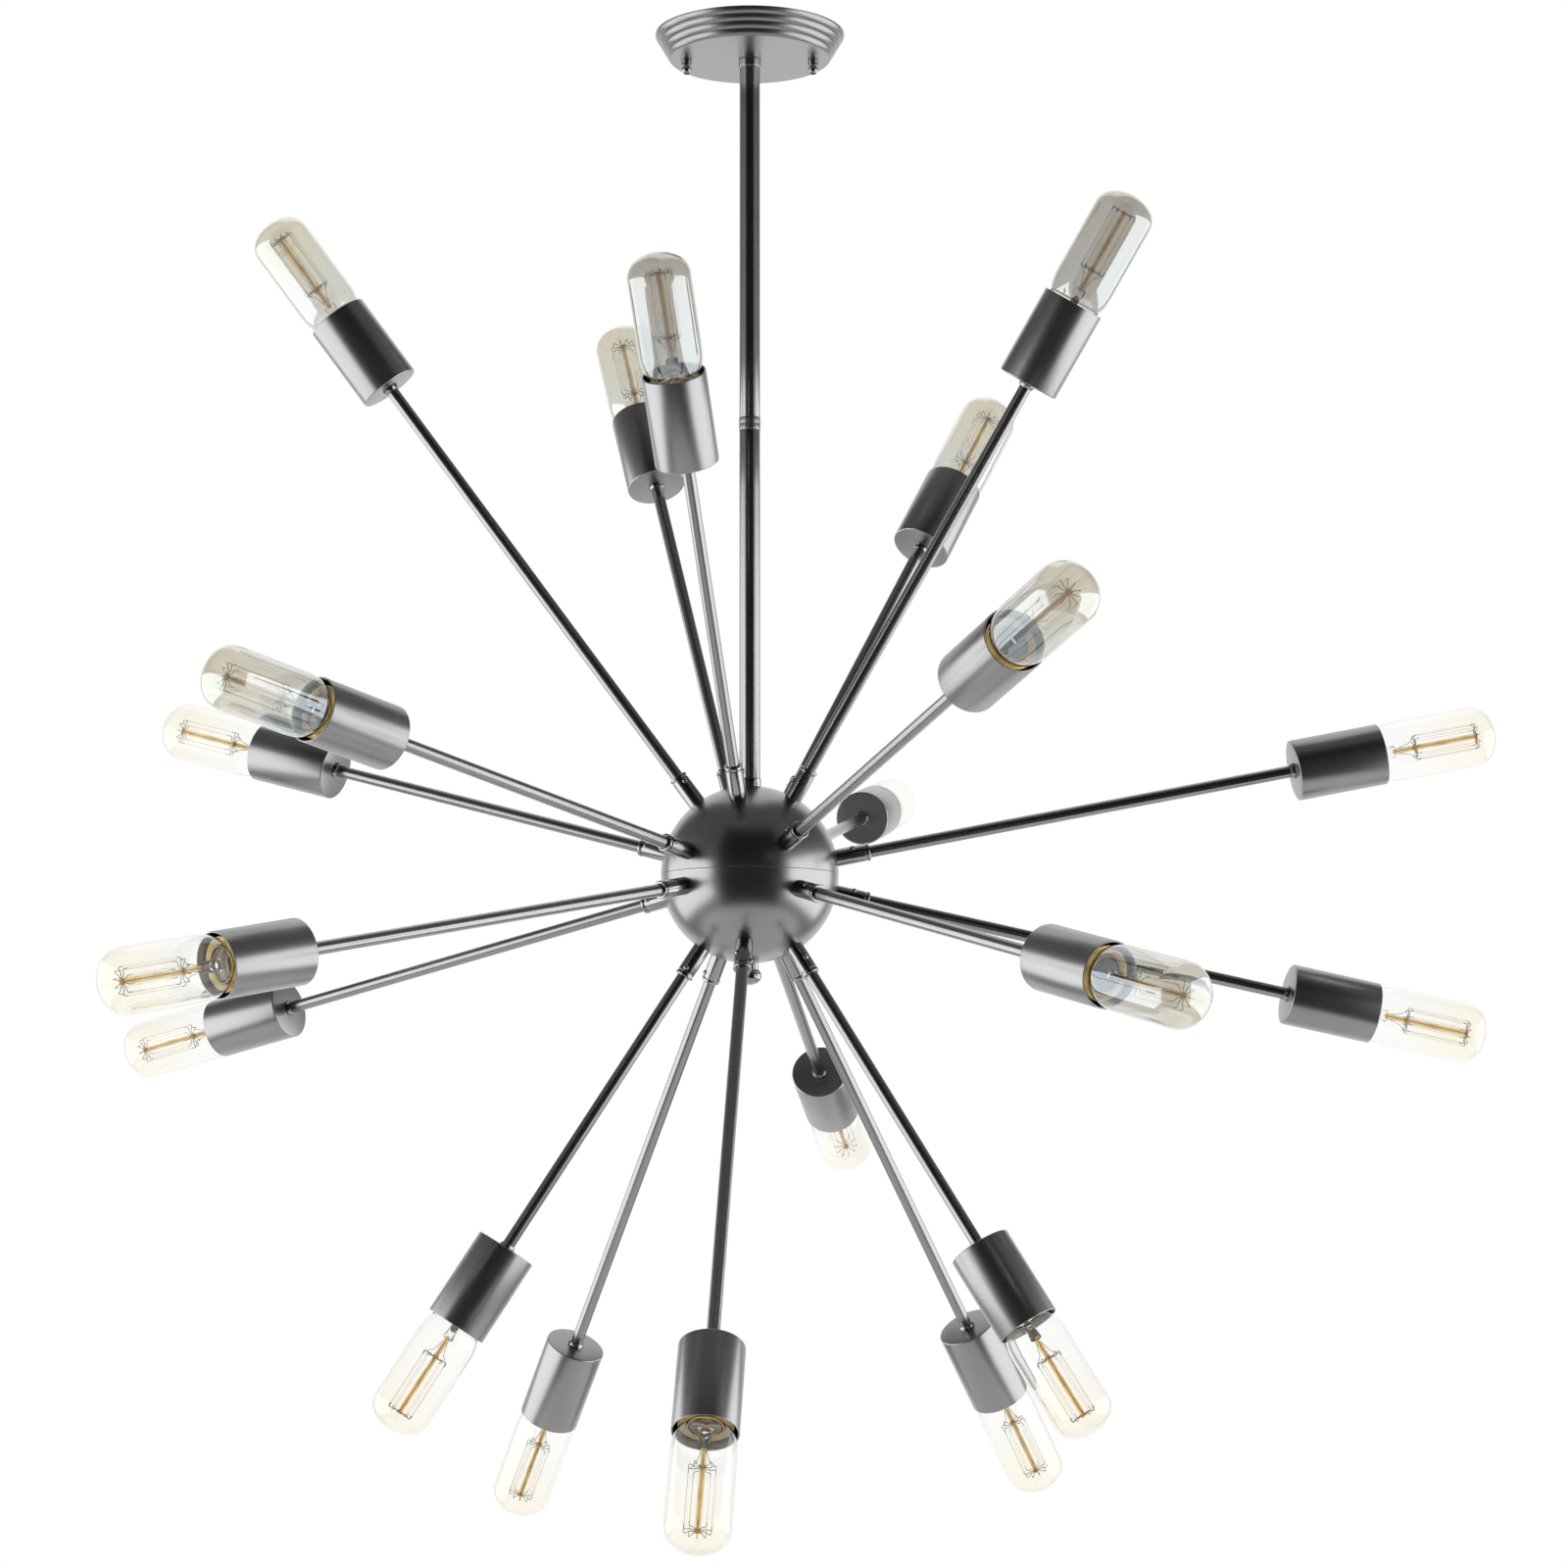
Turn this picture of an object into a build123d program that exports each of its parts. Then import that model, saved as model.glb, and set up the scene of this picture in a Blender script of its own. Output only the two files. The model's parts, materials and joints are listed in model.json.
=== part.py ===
from build123d import *
import os
from math import atan2, cos, pi, radians, sin, sqrt
from typing import NamedTuple

# Twenty-lamp radial chandelier. Millimetres, +Z up. The origin is the centre of the
# ceiling face of the mounting bar; the fitting hangs below it. The camera side is -Y.

# ---------------------------------------------------------------- driving dimensions
HUB_DROP = 661.0            # ceiling to hub centre
HUB_R = 68.0                # outer radius of the spherical hub
HUB_WALL = 2.0
SEAM_CHAMFER = 0.35         # half of the fine groove where the two halves meet
LIP_HEIGHT = 2.5            # lip of the lower half inside the upper one
LIP_WALL = 1.4

CANOPY_R = 74.0             # rim against the ceiling
CANOPY_DISC_R = 62.0        # flat underside
CANOPY_HEIGHT = 20.0
CANOPY_RIBS = 4
RIB_BULGE = 1.1             # how far each rib swells out of the cone
SHEET = 1.2                 # sheet metal of canopy and cups

BAR_LENGTH, BAR_WIDTH, BAR_THICK = 116.0, 20.0, 2.0
BOX_SPACING = 70.0          # outlet-box screws, centre to centre
SLOT_LENGTH, SLOT_WIDTH = 14.0, 4.6
STUD_SPACING = 99.0         # canopy studs, centre to centre
STUD_R = 2.0
BALL_NUT_COLLAR_R, BALL_NUT_COLLAR_H, BALL_NUT_R = 4.1, 5.0, 3.9

PIPE_R, PIPE_BORE_R = 5.0, 3.4       # hollow threaded pipe: top nipple and hub rod
PIPE_NUT_FLATS, PIPE_NUT_H = 15.0, 3.5
HOLE_PLAY = 0.1                      # radial play of a clearance hole

STEM_R, STEM_WALL = 8.0, 1.5
STEM_COLLAR_R, STEM_COLLAR_H = 8.7, 6.5
RING_CHAMFER = 0.6
COUPLER_ABOVE_HUB = 350.5            # middle of the coupler between the two stem pipes
COUPLER_H, COUPLER_GROOVE = 10.0, 0.5
COUPLER_PROUD, GROOVE_DEPTH = 0.3, 0.8
FOOT_H = 5.8                         # foot collar between stem and hub
SPIGOT = 12.0                        # how deep a bushing reaches into a stem pipe

FINIAL_R, FINIAL_NECK_R = 9.0, 6.6
FINIAL_LENGTH = 16.6                 # from the hub's pole down
FINIAL_CAP = 6.0                     # solid end below the hub rod

ROD_R, ROD_BORE_R = 4.75, 3.75       # arm tube, 9.5 mm outside
SHORT, MEDIUM, LONG, EXTRA_LONG = 270.0, 300.0, 360.0, 400.0   # hub surface to cup

COLLAR_R, COLLAR_LENGTH = 6.7, 25.5
COLLAR_SOCKET = 22.5                 # how deep the tube sits in its collar
BEAD_R, BEAD_H = 7.0, 2.7
STUB_R, STUB_BORE_R = 5.0, 3.4       # threaded stub of the collar, through the hub wall
STUB_LENGTH = 7.0                    # below the hub's surface
COLLAR_NUT_H = 3.2
SET_SCREWS = ((6.4, 20.0), (12.8, 130.0))    # (distance from the rim, angle round the tube)
SET_SCREW_R, SET_HEAD_R, SET_HEAD_H = 1.5, 2.1, 1.5

CUP_R, CUP_LENGTH = 23.5, 69.0
CUP_EDGE, CUP_LIP = 1.0, 0.3         # rounded edge of the closed back, chamfer of the mouth
FERRULE_R, FERRULE_H = 6.3, 3.2
CUP_NUT_H = 3.5
TUBE_PAST_NUT, HOLDER_NECK = 4.0, 5.0       # the tube's end inside the lampholder's neck
HOLDER_R, HOLDER_CAP_R, HOLDER_CAP_H = 19.0, 14.0, 13.0
HOLDER_SET_BACK = 6.0                # from the cup's mouth to the lampholder's ring
SLEEVE_R, SLEEVE_WALL, SLEEVE_LENGTH = 13.7, 0.5, 20.0
LEAF_R, LEAF_T = 4.0, 0.8

BULB_R, BULB_LENGTH = 23.0, 90.0     # length is what shows past the mouth
BULB_CORNER_R, BULB_CROWN_R = 15.0, 30.0
BULB_NECK_R, GLASS = 12.0, 0.8
SHOULDER_FROM, SHOULDER_TO = -7.0, 19.0
NECK_BEND, SHOULDER_BEND = 8.0, 20.0   # how softly the shoulder leaves neck and side
BASE_R, BASE_THREADS, THREAD_PITCH, THREAD_DEPTH = 12.9, 5, 3.6, 0.6
BASE_TOP, BASE_RIM, TIP_R, TIP_LENGTH = -4.0, 0.8, 3.4, 1.5
CONE_H = 4.5
CONTACT_GAP = 0.2
TURN_GAP = 0.1              # between a turning nut and the face that it meets
FLARE_H, STEM_GLASS_R = 14.0, 3.0
POST_R, CAGE_BOTTOM, CAGE_TOP, CAGE_R = 0.9, 27.0, 76.0, 8.5
STRANDS, WIRE = 10, 0.3


class Arm(NamedTuple):
    """One arm: its tier, its direction from the hub's centre, and its tube's length."""

    tier: str
    azimuth: float
    elevation: float
    reach: float


# Four tiers of five, each nearly 72 degrees apart. The two outer tiers stand half a step
# round from the two middle ones.
ARMS = (
    Arm("upper", 182.5, 53.5, EXTRA_LONG),
    Arm("upper", 255.5, 57.5, SHORT),
    Arm("upper", 117.5, 63.5, MEDIUM),
    Arm("upper", 333.0, 57.0, LONG),
    Arm("upper", 44.5, 55.0, SHORT),
    Arm("upper_mid", 295.0, 16.5, MEDIUM),
    Arm("upper_mid", 225.5, 11.5, MEDIUM),
    Arm("upper_mid", 159.0, 15.0, MEDIUM),
    Arm("upper_mid", 2.0, 11.0, LONG),
    Arm("upper_mid", 77.5, 11.0, EXTRA_LONG),
    Arm("lower_mid", 222.5, -10.5, LONG),
    Arm("lower_mid", 153.5, -12.5, LONG),
    Arm("lower_mid", 304.5, -13.0, MEDIUM),
    Arm("lower_mid", 6.0, -12.0, LONG),
    Arm("lower_mid", 79.0, -24.5, SHORT),
    Arm("lower", 186.5, -57.0, SHORT),
    Arm("lower", 128.0, -58.0, LONG),
    Arm("lower", 264.0, -54.5, LONG),
    Arm("lower", 335.0, -56.5, SHORT),
    Arm("lower", 45.5, -54.5, LONG),
)
TIERS = ("upper", "upper_mid", "lower_mid", "lower")

# ------------------------------------------------------------------- worked-out sizes
HUB_Z = -HUB_DROP
STEM_TOP = -CANOPY_HEIGHT - STEM_COLLAR_H
STEM_FOOT = HUB_Z + HUB_R + FOOT_H
COUPLER_Z = HUB_Z + COUPLER_ABOVE_HUB
STEM_BORE_R = STEM_R - STEM_WALL
COLLAR_RIM = HUB_R + COLLAR_LENGTH
ROD_START = COLLAR_RIM - COLLAR_SOCKET
BORE_R = ROD_R + HOLE_PLAY


# --------------------------------------------------------------------------- helpers
def turned(*edges):
    """Solid of revolution about Z from profile edges drawn as (radius, height)."""
    return revolve(Plane.XZ * make_face(Curve() + list(edges)), Axis.Z)


def turned_corners(*corners):
    """Solid of revolution from straight profile corners (radius, height)."""
    return turned(Polyline(*corners, close=True))


def tube(outer, inner, low, high):
    """Plain tube along Z between two heights."""
    return turned_corners((inner, low), (outer, low), (outer, high), (inner, high))


def rod(radius, low, high):
    """Plain round bar along Z between two heights."""
    return Pos(0, 0, (low + high) / 2) * Cylinder(radius, high - low)


def hex_nut(flats, bore, low, high):
    """Hexagon nut along Z between two heights, bored out."""
    blank = extrude(Pos(0, 0, low) * RegularPolygon(flats / sqrt(3), 6), high - low)
    return blank - rod(bore, low - 1, high + 1)


def arm_place(arm):
    """Location of an arm: Z runs out along it, X is level, its origin the hub's centre."""
    level, rise = radians(arm.azimuth), radians(arm.elevation)
    along = (cos(rise) * cos(level), cos(rise) * sin(level), sin(rise))
    across = (-sin(level), cos(level), 0)
    return Plane((0, 0, HUB_Z), x_dir=across, z_dir=along).location


def write(node, *solids):
    """One STEP file per node, holding every solid of that kind."""
    made = [solid for item in solids for solid in item.solids()]
    export_step(Compound(made), f"parts/{node}.step")


# ------------------------------------------------------------------ ceiling and canopy
def mounting_bar():
    """Flat bar with two slots for the outlet box, two stud holes and the nipple's thread."""
    bar = Box(BAR_LENGTH, BAR_WIDTH, BAR_THICK)
    bar = fillet(bar.edges().filter_by(Axis.Z), BAR_WIDTH / 2 - 2)
    slot = extrude(SlotOverall(SLOT_LENGTH, SLOT_WIDTH), BAR_THICK, both=True)
    for side in (-1, 1):
        bar -= Pos(side * BOX_SPACING / 2, 0, 0) * slot
        bar -= Pos(side * STUD_SPACING / 2, 0, 0) * Cylinder(STUD_R, 2 * BAR_THICK)
    bar -= Cylinder(PIPE_R, 2 * BAR_THICK)
    return Pos(0, 0, -BAR_THICK / 2) * bar


def canopy():
    """Shallow pan: a cone of rounded ribs closed by a flat disc, open to the ceiling."""
    step_in = (CANOPY_R - CANOPY_DISC_R) / CANOPY_RIBS
    step_down = CANOPY_HEIGHT / CANOPY_RIBS
    lean = sqrt(step_in**2 + step_down**2)
    out_r, out_z = RIB_BULGE * step_down / lean, RIB_BULGE * step_in / lean
    outer = []
    for rib in range(CANOPY_RIBS):
        high = (CANOPY_R - rib * step_in, -rib * step_down)
        low = (CANOPY_R - (rib + 1) * step_in, -(rib + 1) * step_down)
        middle = ((high[0] + low[0]) / 2 + out_r, (high[1] + low[1]) / 2 - out_z)
        outer.append(ThreePointArc(high, middle, low))
    floor = -CANOPY_HEIGHT + SHEET
    hole = PIPE_R + HOLE_PLAY
    inner = Polyline(
        (CANOPY_DISC_R, -CANOPY_HEIGHT), (hole, -CANOPY_HEIGHT), (hole, floor),
        (CANOPY_DISC_R - SHEET, floor), (CANOPY_R - SHEET, 0), (CANOPY_R, 0),
    )
    pan = turned(*outer, inner)
    for side in (-1, 1):
        pan -= Pos(side * STUD_SPACING / 2, 0, -CANOPY_HEIGHT) * Cylinder(STUD_R + HOLE_PLAY, 6)
    return pan


def canopy_studs():
    """Two threaded studs from the bar down through the canopy's floor."""
    stud = rod(STUD_R, -CANOPY_HEIGHT - BALL_NUT_COLLAR_H - BALL_NUT_R, 0)
    return [Pos(side * STUD_SPACING / 2, 0, 0) * stud for side in (-1, 1)]


def ball_nut(side):
    """Knurl-free thumb nut: a short collar ending in a ball, bored for its stud."""
    top = -CANOPY_HEIGHT - TURN_GAP
    neck = top - BALL_NUT_COLLAR_H
    collar = rod(BALL_NUT_COLLAR_R, neck, top)
    collar = chamfer(collar.edges().sort_by(Axis.Z)[0], 0.4)
    ball = Pos(0, 0, neck - BALL_NUT_R * 0.72) * Sphere(BALL_NUT_R)
    bore = rod(STUD_R + 0.05, neck - BALL_NUT_R - 0.1, top + 1)
    return Pos(side * STUD_SPACING / 2, 0, 0) * (collar + ball - bore)


def top_nipple():
    """Hollow threaded pipe from the bar through the canopy into the stem's collar."""
    return tube(PIPE_R, PIPE_BORE_R, STEM_TOP - SPIGOT, 0)


def nipple_nuts():
    """Lock nuts under the bar and on the canopy's floor."""
    floor = -CANOPY_HEIGHT + SHEET
    return [
        hex_nut(PIPE_NUT_FLATS, PIPE_R, -BAR_THICK - PIPE_NUT_H, -BAR_THICK),
        hex_nut(PIPE_NUT_FLATS, PIPE_R, floor, floor + PIPE_NUT_H),
    ]


# --------------------------------------------------------------------------- the stem
def stem_collar():
    """Ring that clamps the canopy, with a spigot up the stem's bore."""
    top, low, edge = -CANOPY_HEIGHT, STEM_TOP, RING_CHAMFER
    ring = turned_corners(
        (PIPE_R, top), (STEM_COLLAR_R - edge, top), (STEM_COLLAR_R, top - edge),
        (STEM_COLLAR_R, low + edge), (STEM_COLLAR_R - edge, low), (STEM_BORE_R, low),
        (STEM_BORE_R, low - SPIGOT), (PIPE_R, low - SPIGOT),
    )
    return ring


def stem_pipe(low, high):
    """One of the two stem pipes."""
    return tube(STEM_R, STEM_BORE_R, low, high)


def stem_coupler():
    """Sleeve between the pipes, a hair proud, with a groove and a spigot each way."""
    proud, half, groove = STEM_R + COUPLER_PROUD, COUPLER_H / 2, COUPLER_GROOVE / 2
    body = turned_corners(
        (PIPE_BORE_R, -half - SPIGOT), (STEM_BORE_R, -half - SPIGOT), (STEM_BORE_R, -half),
        (proud, -half), (proud, -groove), (proud - GROOVE_DEPTH, -groove),
        (proud - GROOVE_DEPTH, groove),
        (proud, groove), (proud, half), (STEM_BORE_R, half), (STEM_BORE_R, half + SPIGOT),
        (PIPE_BORE_R, half + SPIGOT),
    )
    return Pos(0, 0, COUPLER_Z) * body


def stem_foot():
    """Foot collar seated on the hub, its spigot up the stem, threaded for the hub rod."""
    ring = turned_corners(
        (PIPE_R, HUB_Z + HUB_R - 2), (STEM_COLLAR_R, HUB_Z + HUB_R - 2),
        (STEM_COLLAR_R, STEM_FOOT - RING_CHAMFER), (STEM_COLLAR_R - RING_CHAMFER, STEM_FOOT),
        (STEM_BORE_R, STEM_FOOT), (STEM_BORE_R, STEM_FOOT + SPIGOT),
        (PIPE_R, STEM_FOOT + SPIGOT),
    )
    return ring - Pos(0, 0, HUB_Z) * Sphere(HUB_R)


# ---------------------------------------------------------------------------- the hub
def hub_half(side):
    """One half of the hub: a spun hemisphere with a hole for each of its ten arms."""
    inner = HUB_R - HUB_WALL
    edge, step = SEAM_CHAMFER, side * SEAM_CHAMFER
    diagonal = HUB_R * sqrt(0.5), side * HUB_R * sqrt(0.5)
    inner_diagonal = inner * sqrt(0.5), side * inner * sqrt(0.5)
    chamfered = sqrt(HUB_R**2 - edge**2)
    shell = turned(
        Line((inner, 0), (HUB_R - edge, 0)),
        Line((HUB_R - edge, 0), (chamfered, step)),
        ThreePointArc((chamfered, step), diagonal, (0, side * HUB_R)),
        Line((0, side * HUB_R), (0, side * inner)),
        ThreePointArc((0, side * inner), inner_diagonal, (inner, 0)),
    )
    if side < 0:
        shell += turned_corners(
            (inner - HOLE_PLAY, LIP_HEIGHT), (inner - LIP_WALL, LIP_HEIGHT),
            (inner - LIP_WALL, -LIP_HEIGHT), (inner + 0.3, -LIP_HEIGHT),
            (inner + 0.3, 0), (inner - HOLE_PLAY, 0),
        )
    shell -= Pos(0, 0, side * HUB_R) * Cylinder(PIPE_R + HOLE_PLAY, 4 * HUB_WALL)
    shell = Pos(0, 0, HUB_Z) * shell
    for arm in ARMS:
        if arm.elevation * side > 0:
            shell -= arm_place(arm) * rod(STUB_R + HOLE_PLAY, HUB_R - 10, HUB_R + 10)
    return shell


def hub_rod():
    """Hollow threaded pipe down the hub's axis, from the stem's foot to the finial."""
    return tube(PIPE_R, PIPE_BORE_R, HUB_Z - HUB_R - FINIAL_LENGTH + FINIAL_CAP, STEM_FOOT + SPIGOT)


def hub_nut():
    """Nut inside the hub that draws its upper half against the stem's foot."""
    seat = HUB_Z + sqrt((HUB_R - HUB_WALL) ** 2 - (PIPE_NUT_FLATS / sqrt(3)) ** 2)
    return hex_nut(PIPE_NUT_FLATS, PIPE_R, seat - PIPE_NUT_H, seat)


def hub_finial():
    """Round cap nut under the hub: a short neck and a flattened ball."""
    low = -HUB_R - FINIAL_LENGTH
    ball_h = FINIAL_LENGTH - 2.6
    middle = low + ball_h / 2
    shoulder = sqrt(1 - (FINIAL_NECK_R / FINIAL_R) ** 2) * ball_h / 2
    ball = Pos(0, 0, middle) * scale(Sphere(FINIAL_R), (1, 1, ball_h / 2 / FINIAL_R))
    neck = rod(FINIAL_NECK_R, middle + shoulder - 0.5, -HUB_R + 1)
    bore = rod(PIPE_R + HOLE_PLAY, low + FINIAL_CAP - 0.2, -HUB_R + 2)
    finial = ball + neck - bore - Sphere(HUB_R + TURN_GAP)
    return Pos(0, 0, HUB_Z) * finial


# ---------------------------------------------- one arm, built outwards along its own Z
def collar():
    """Turned collar: saddle on the sphere, beaded rim, stub through the hub wall."""
    groove = COLLAR_RIM - BEAD_H
    stub = HUB_R - STUB_LENGTH
    body = turned(
        Polyline(
            (STUB_BORE_R, stub), (STUB_R, stub), (STUB_R, HUB_R - 1.5),
            (COLLAR_R, HUB_R - 1.5), (COLLAR_R, groove - 0.8), (COLLAR_R - 0.5, groove - 0.8),
            (COLLAR_R - 0.5, groove), (BEAD_R - 0.5, groove),
        ),
        ThreePointArc(
            (BEAD_R - 0.5, groove), (BEAD_R, COLLAR_RIM - BEAD_H / 2), (BEAD_R - 0.5, COLLAR_RIM)
        ),
        Polyline(
            (BEAD_R - 0.5, COLLAR_RIM), (BORE_R, COLLAR_RIM), (BORE_R, ROD_START),
            (STUB_BORE_R, ROD_START), (STUB_BORE_R, stub),
        ),
    )
    saddle = Sphere(HUB_R) - rod(STUB_R, 0, HUB_R + 1)
    body -= saddle
    for from_rim, angle in SET_SCREWS:
        hole = Pos(COLLAR_R, 0, COLLAR_RIM - from_rim) * Rot(0, 90, 0)
        body -= Rot(0, 0, angle) * hole * Cylinder(SET_SCREW_R, 6)
    return body


def collar_nut():
    """Nut inside the hub on the collar's stub."""
    seat = sqrt((HUB_R - HUB_WALL) ** 2 - (PIPE_NUT_FLATS / sqrt(3)) ** 2)
    return hex_nut(PIPE_NUT_FLATS, STUB_R, seat - COLLAR_NUT_H, seat)


def set_screws():
    """Two slotted round-head screws that pinch the tube in its collar."""
    under = COLLAR_R
    head = Pos(0, 0, under - 0.4) * Sphere(SET_HEAD_R) & rod(SET_HEAD_R, under, under + SET_HEAD_H)
    screw = head + rod(SET_SCREW_R, ROD_R, under + 0.2)
    screw -= Pos(0, 0, under + SET_HEAD_H) * Box(0.5, 2 * SET_HEAD_R, 1.0)
    made = []
    for from_rim, angle in SET_SCREWS:
        made.append(Rot(0, 0, angle) * Pos(0, 0, COLLAR_RIM - from_rim) * Rot(0, 90, 0) * screw)
    return made


def arm_tube(reach):
    """Straight arm tube, from the step in its collar to the lampholder's cap."""
    back = HUB_R + reach
    return tube(ROD_R, ROD_BORE_R, ROD_START, back + SHEET + CUP_NUT_H + TUBE_PAST_NUT)


def ferrule():
    """Small turned ring between the arm and the cup's back. Z = 0 is the cup's back."""
    return turned_corners(
        (ROD_R, 0), (FERRULE_R, 0), (FERRULE_R, 0.8 - FERRULE_H),
        (FERRULE_R - 0.8, -FERRULE_H), (ROD_R, -FERRULE_H),
    )


def cup():
    """Spun cup: closed back with a rounded edge, thin wall, open mouth. Z = 0 is its back."""
    corner = CUP_EDGE * (1 - sqrt(0.5))
    bore = ROD_R + HOLE_PLAY
    inside = CUP_R - SHEET
    return turned(
        Line((bore, 0), (CUP_R - CUP_EDGE, 0)),
        ThreePointArc((CUP_R - CUP_EDGE, 0), (CUP_R - corner, corner), (CUP_R, CUP_EDGE)),
        Polyline(
            (CUP_R, CUP_EDGE), (CUP_R, CUP_LENGTH - CUP_LIP), (CUP_R - CUP_LIP, CUP_LENGTH),
            (inside + CUP_LIP, CUP_LENGTH), (inside, CUP_LENGTH - CUP_LIP), (inside, SHEET),
            (bore, SHEET), (bore, 0),
        ),
    )


def cup_nut():
    """Nut inside the cup that draws it against the ferrule. Z = 0 is the cup's back."""
    return hex_nut(PIPE_NUT_FLATS, ROD_R, SHEET, SHEET + CUP_NUT_H)


def lampholder():
    """Insulating lampholder: narrow cap, wide body, bore for the sleeve. Z = 0 is the mouth."""
    low = -CUP_LENGTH + SHEET + CUP_NUT_H
    cap = low + HOLDER_CAP_H
    ring = -HOLDER_SET_BACK
    floor = base_tip() - CONTACT_GAP - LEAF_T
    bore = SLEEVE_R
    return turned_corners(
        (ROD_R, low), (HOLDER_CAP_R - 1, low), (HOLDER_CAP_R, low + 1), (HOLDER_CAP_R, cap - 2),
        (HOLDER_R - 1, cap), (HOLDER_R, cap + 1), (HOLDER_R, ring - 1.2), (HOLDER_R - 1.2, ring),
        (bore + 0.8, ring), (bore, ring - 0.8), (bore, floor), (0, floor), (0, low + HOLDER_NECK),
        (ROD_R, low + HOLDER_NECK),
    )


def screw_sleeve():
    """Thin brass sleeve that takes the lamp's thread. Z = 0 is the mouth."""
    top = -HOLDER_SET_BACK - 1.0
    return tube(SLEEVE_R, SLEEVE_R - SLEEVE_WALL, top - SLEEVE_LENGTH, top)


def contact_leaf():
    """Centre contact on the lampholder's floor. Z = 0 is the mouth."""
    top = base_tip() - CONTACT_GAP
    return rod(LEAF_R, top - LEAF_T, top)


# ------------------------------------------------------- one lamp, Z = 0 the cup's mouth
def base_tip():
    """Height of the lamp's centre contact."""
    return BASE_TOP - 2 * BASE_RIM - BASE_THREADS * THREAD_PITCH - CONE_H - TIP_LENGTH


def glass_envelope():
    """Tubular bulb: swept shoulder, straight side, flattened round end, open neck."""
    # The end is a corner arc running tangent into a flatter crown arc centred on the axis.
    corner_x = BULB_R - BULB_CORNER_R
    crown_z = BULB_LENGTH - BULB_CROWN_R
    rise = sqrt((BULB_CROWN_R - BULB_CORNER_R) ** 2 - corner_x**2)
    corner_z = crown_z + rise
    lean = atan2(rise, corner_x)

    def outline(inset):
        side, neck = BULB_R - inset, BULB_NECK_R - inset
        corner, crown = BULB_CORNER_R - inset, BULB_CROWN_R - inset
        shoulder = Bezier(
            (neck, SHOULDER_FROM), (neck, SHOULDER_FROM + NECK_BEND),
            (side, SHOULDER_TO - SHOULDER_BEND), (side, SHOULDER_TO),
        )
        straight = Line((side, SHOULDER_TO), (side, corner_z))

        def on_corner(angle):
            return corner_x + corner * cos(angle), corner_z + corner * sin(angle)

        def on_crown(angle):
            return crown * cos(angle), crown_z + crown * sin(angle)

        round_corner = ThreePointArc(on_corner(0), on_corner(lean / 2), on_corner(lean))
        middle = on_crown((lean + pi / 2) / 2)
        flat_crown = ThreePointArc(on_crown(lean), middle, (0, crown_z + crown))
        return [shoulder, straight, round_corner, flat_crown]

    tip = Line((0, BULB_LENGTH), (0, BULB_LENGTH - GLASS))
    lip = Line((BULB_NECK_R, SHOULDER_FROM), (BULB_NECK_R - GLASS, SHOULDER_FROM))
    return turned(*outline(0), tip, *outline(GLASS), lip)


def lamp_base():
    """Screw base: rolled thread, insulating cone and centre contact."""
    top = BASE_TOP
    bore = BULB_NECK_R
    low = top - BASE_RIM
    edges = [Polyline((bore, top), (BASE_R, top), (BASE_R, low))]
    for _ in range(BASE_THREADS):
        valley = (BASE_R - THREAD_DEPTH, low - THREAD_PITCH / 2)
        edges.append(ThreePointArc((BASE_R, low), valley, (BASE_R, low - THREAD_PITCH)))
        low -= THREAD_PITCH
    foot = low - BASE_RIM
    cone = foot - CONE_H
    edges.append(Polyline(
        (BASE_R, low), (BASE_R, foot), (TIP_R + 2.0, cone), (TIP_R, cone),
        (TIP_R, cone - TIP_LENGTH), (0, cone - TIP_LENGTH), (0, foot), (bore, foot), (bore, top),
    ))
    return turned(*edges)


def filament_mount():
    """Glass flare and post carrying two spiders of hooks and the upright strands between."""
    neck = BULB_NECK_R - GLASS
    low = SHOULDER_FROM + 1
    mount = turned(
        Line((0, low), (neck, low)), Line((neck, low), (neck, low + 1)),
        Bezier((neck, low + 1), (STEM_GLASS_R, low + 3), (STEM_GLASS_R, low + 8),
               (STEM_GLASS_R, low + FLARE_H)),
        Polyline((STEM_GLASS_R, low + FLARE_H), (0, low + FLARE_H), (0, low)),
    )
    mount += rod(POST_R, low + FLARE_H - 1, CAGE_TOP)
    for height, button in ((CAGE_BOTTOM, 1.6), (CAGE_TOP, 1.3)):
        mount += rod(button, height - 1.2, height + 0.6)
    hook = Pos(CAGE_R / 2, 0, 0) * Box(CAGE_R + WIRE, WIRE, WIRE)
    strand = Pos(CAGE_R, 0, (CAGE_BOTTOM + CAGE_TOP) / 2) * Box(
        WIRE, WIRE, CAGE_TOP - CAGE_BOTTOM + WIRE)
    for count in range(STRANDS):
        spoke = Pos(0, 0, CAGE_BOTTOM) * hook + Pos(0, 0, CAGE_TOP) * hook + strand
        mount += Rot(0, 0, count * 360 / STRANDS) * spoke
    return mount


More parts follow.
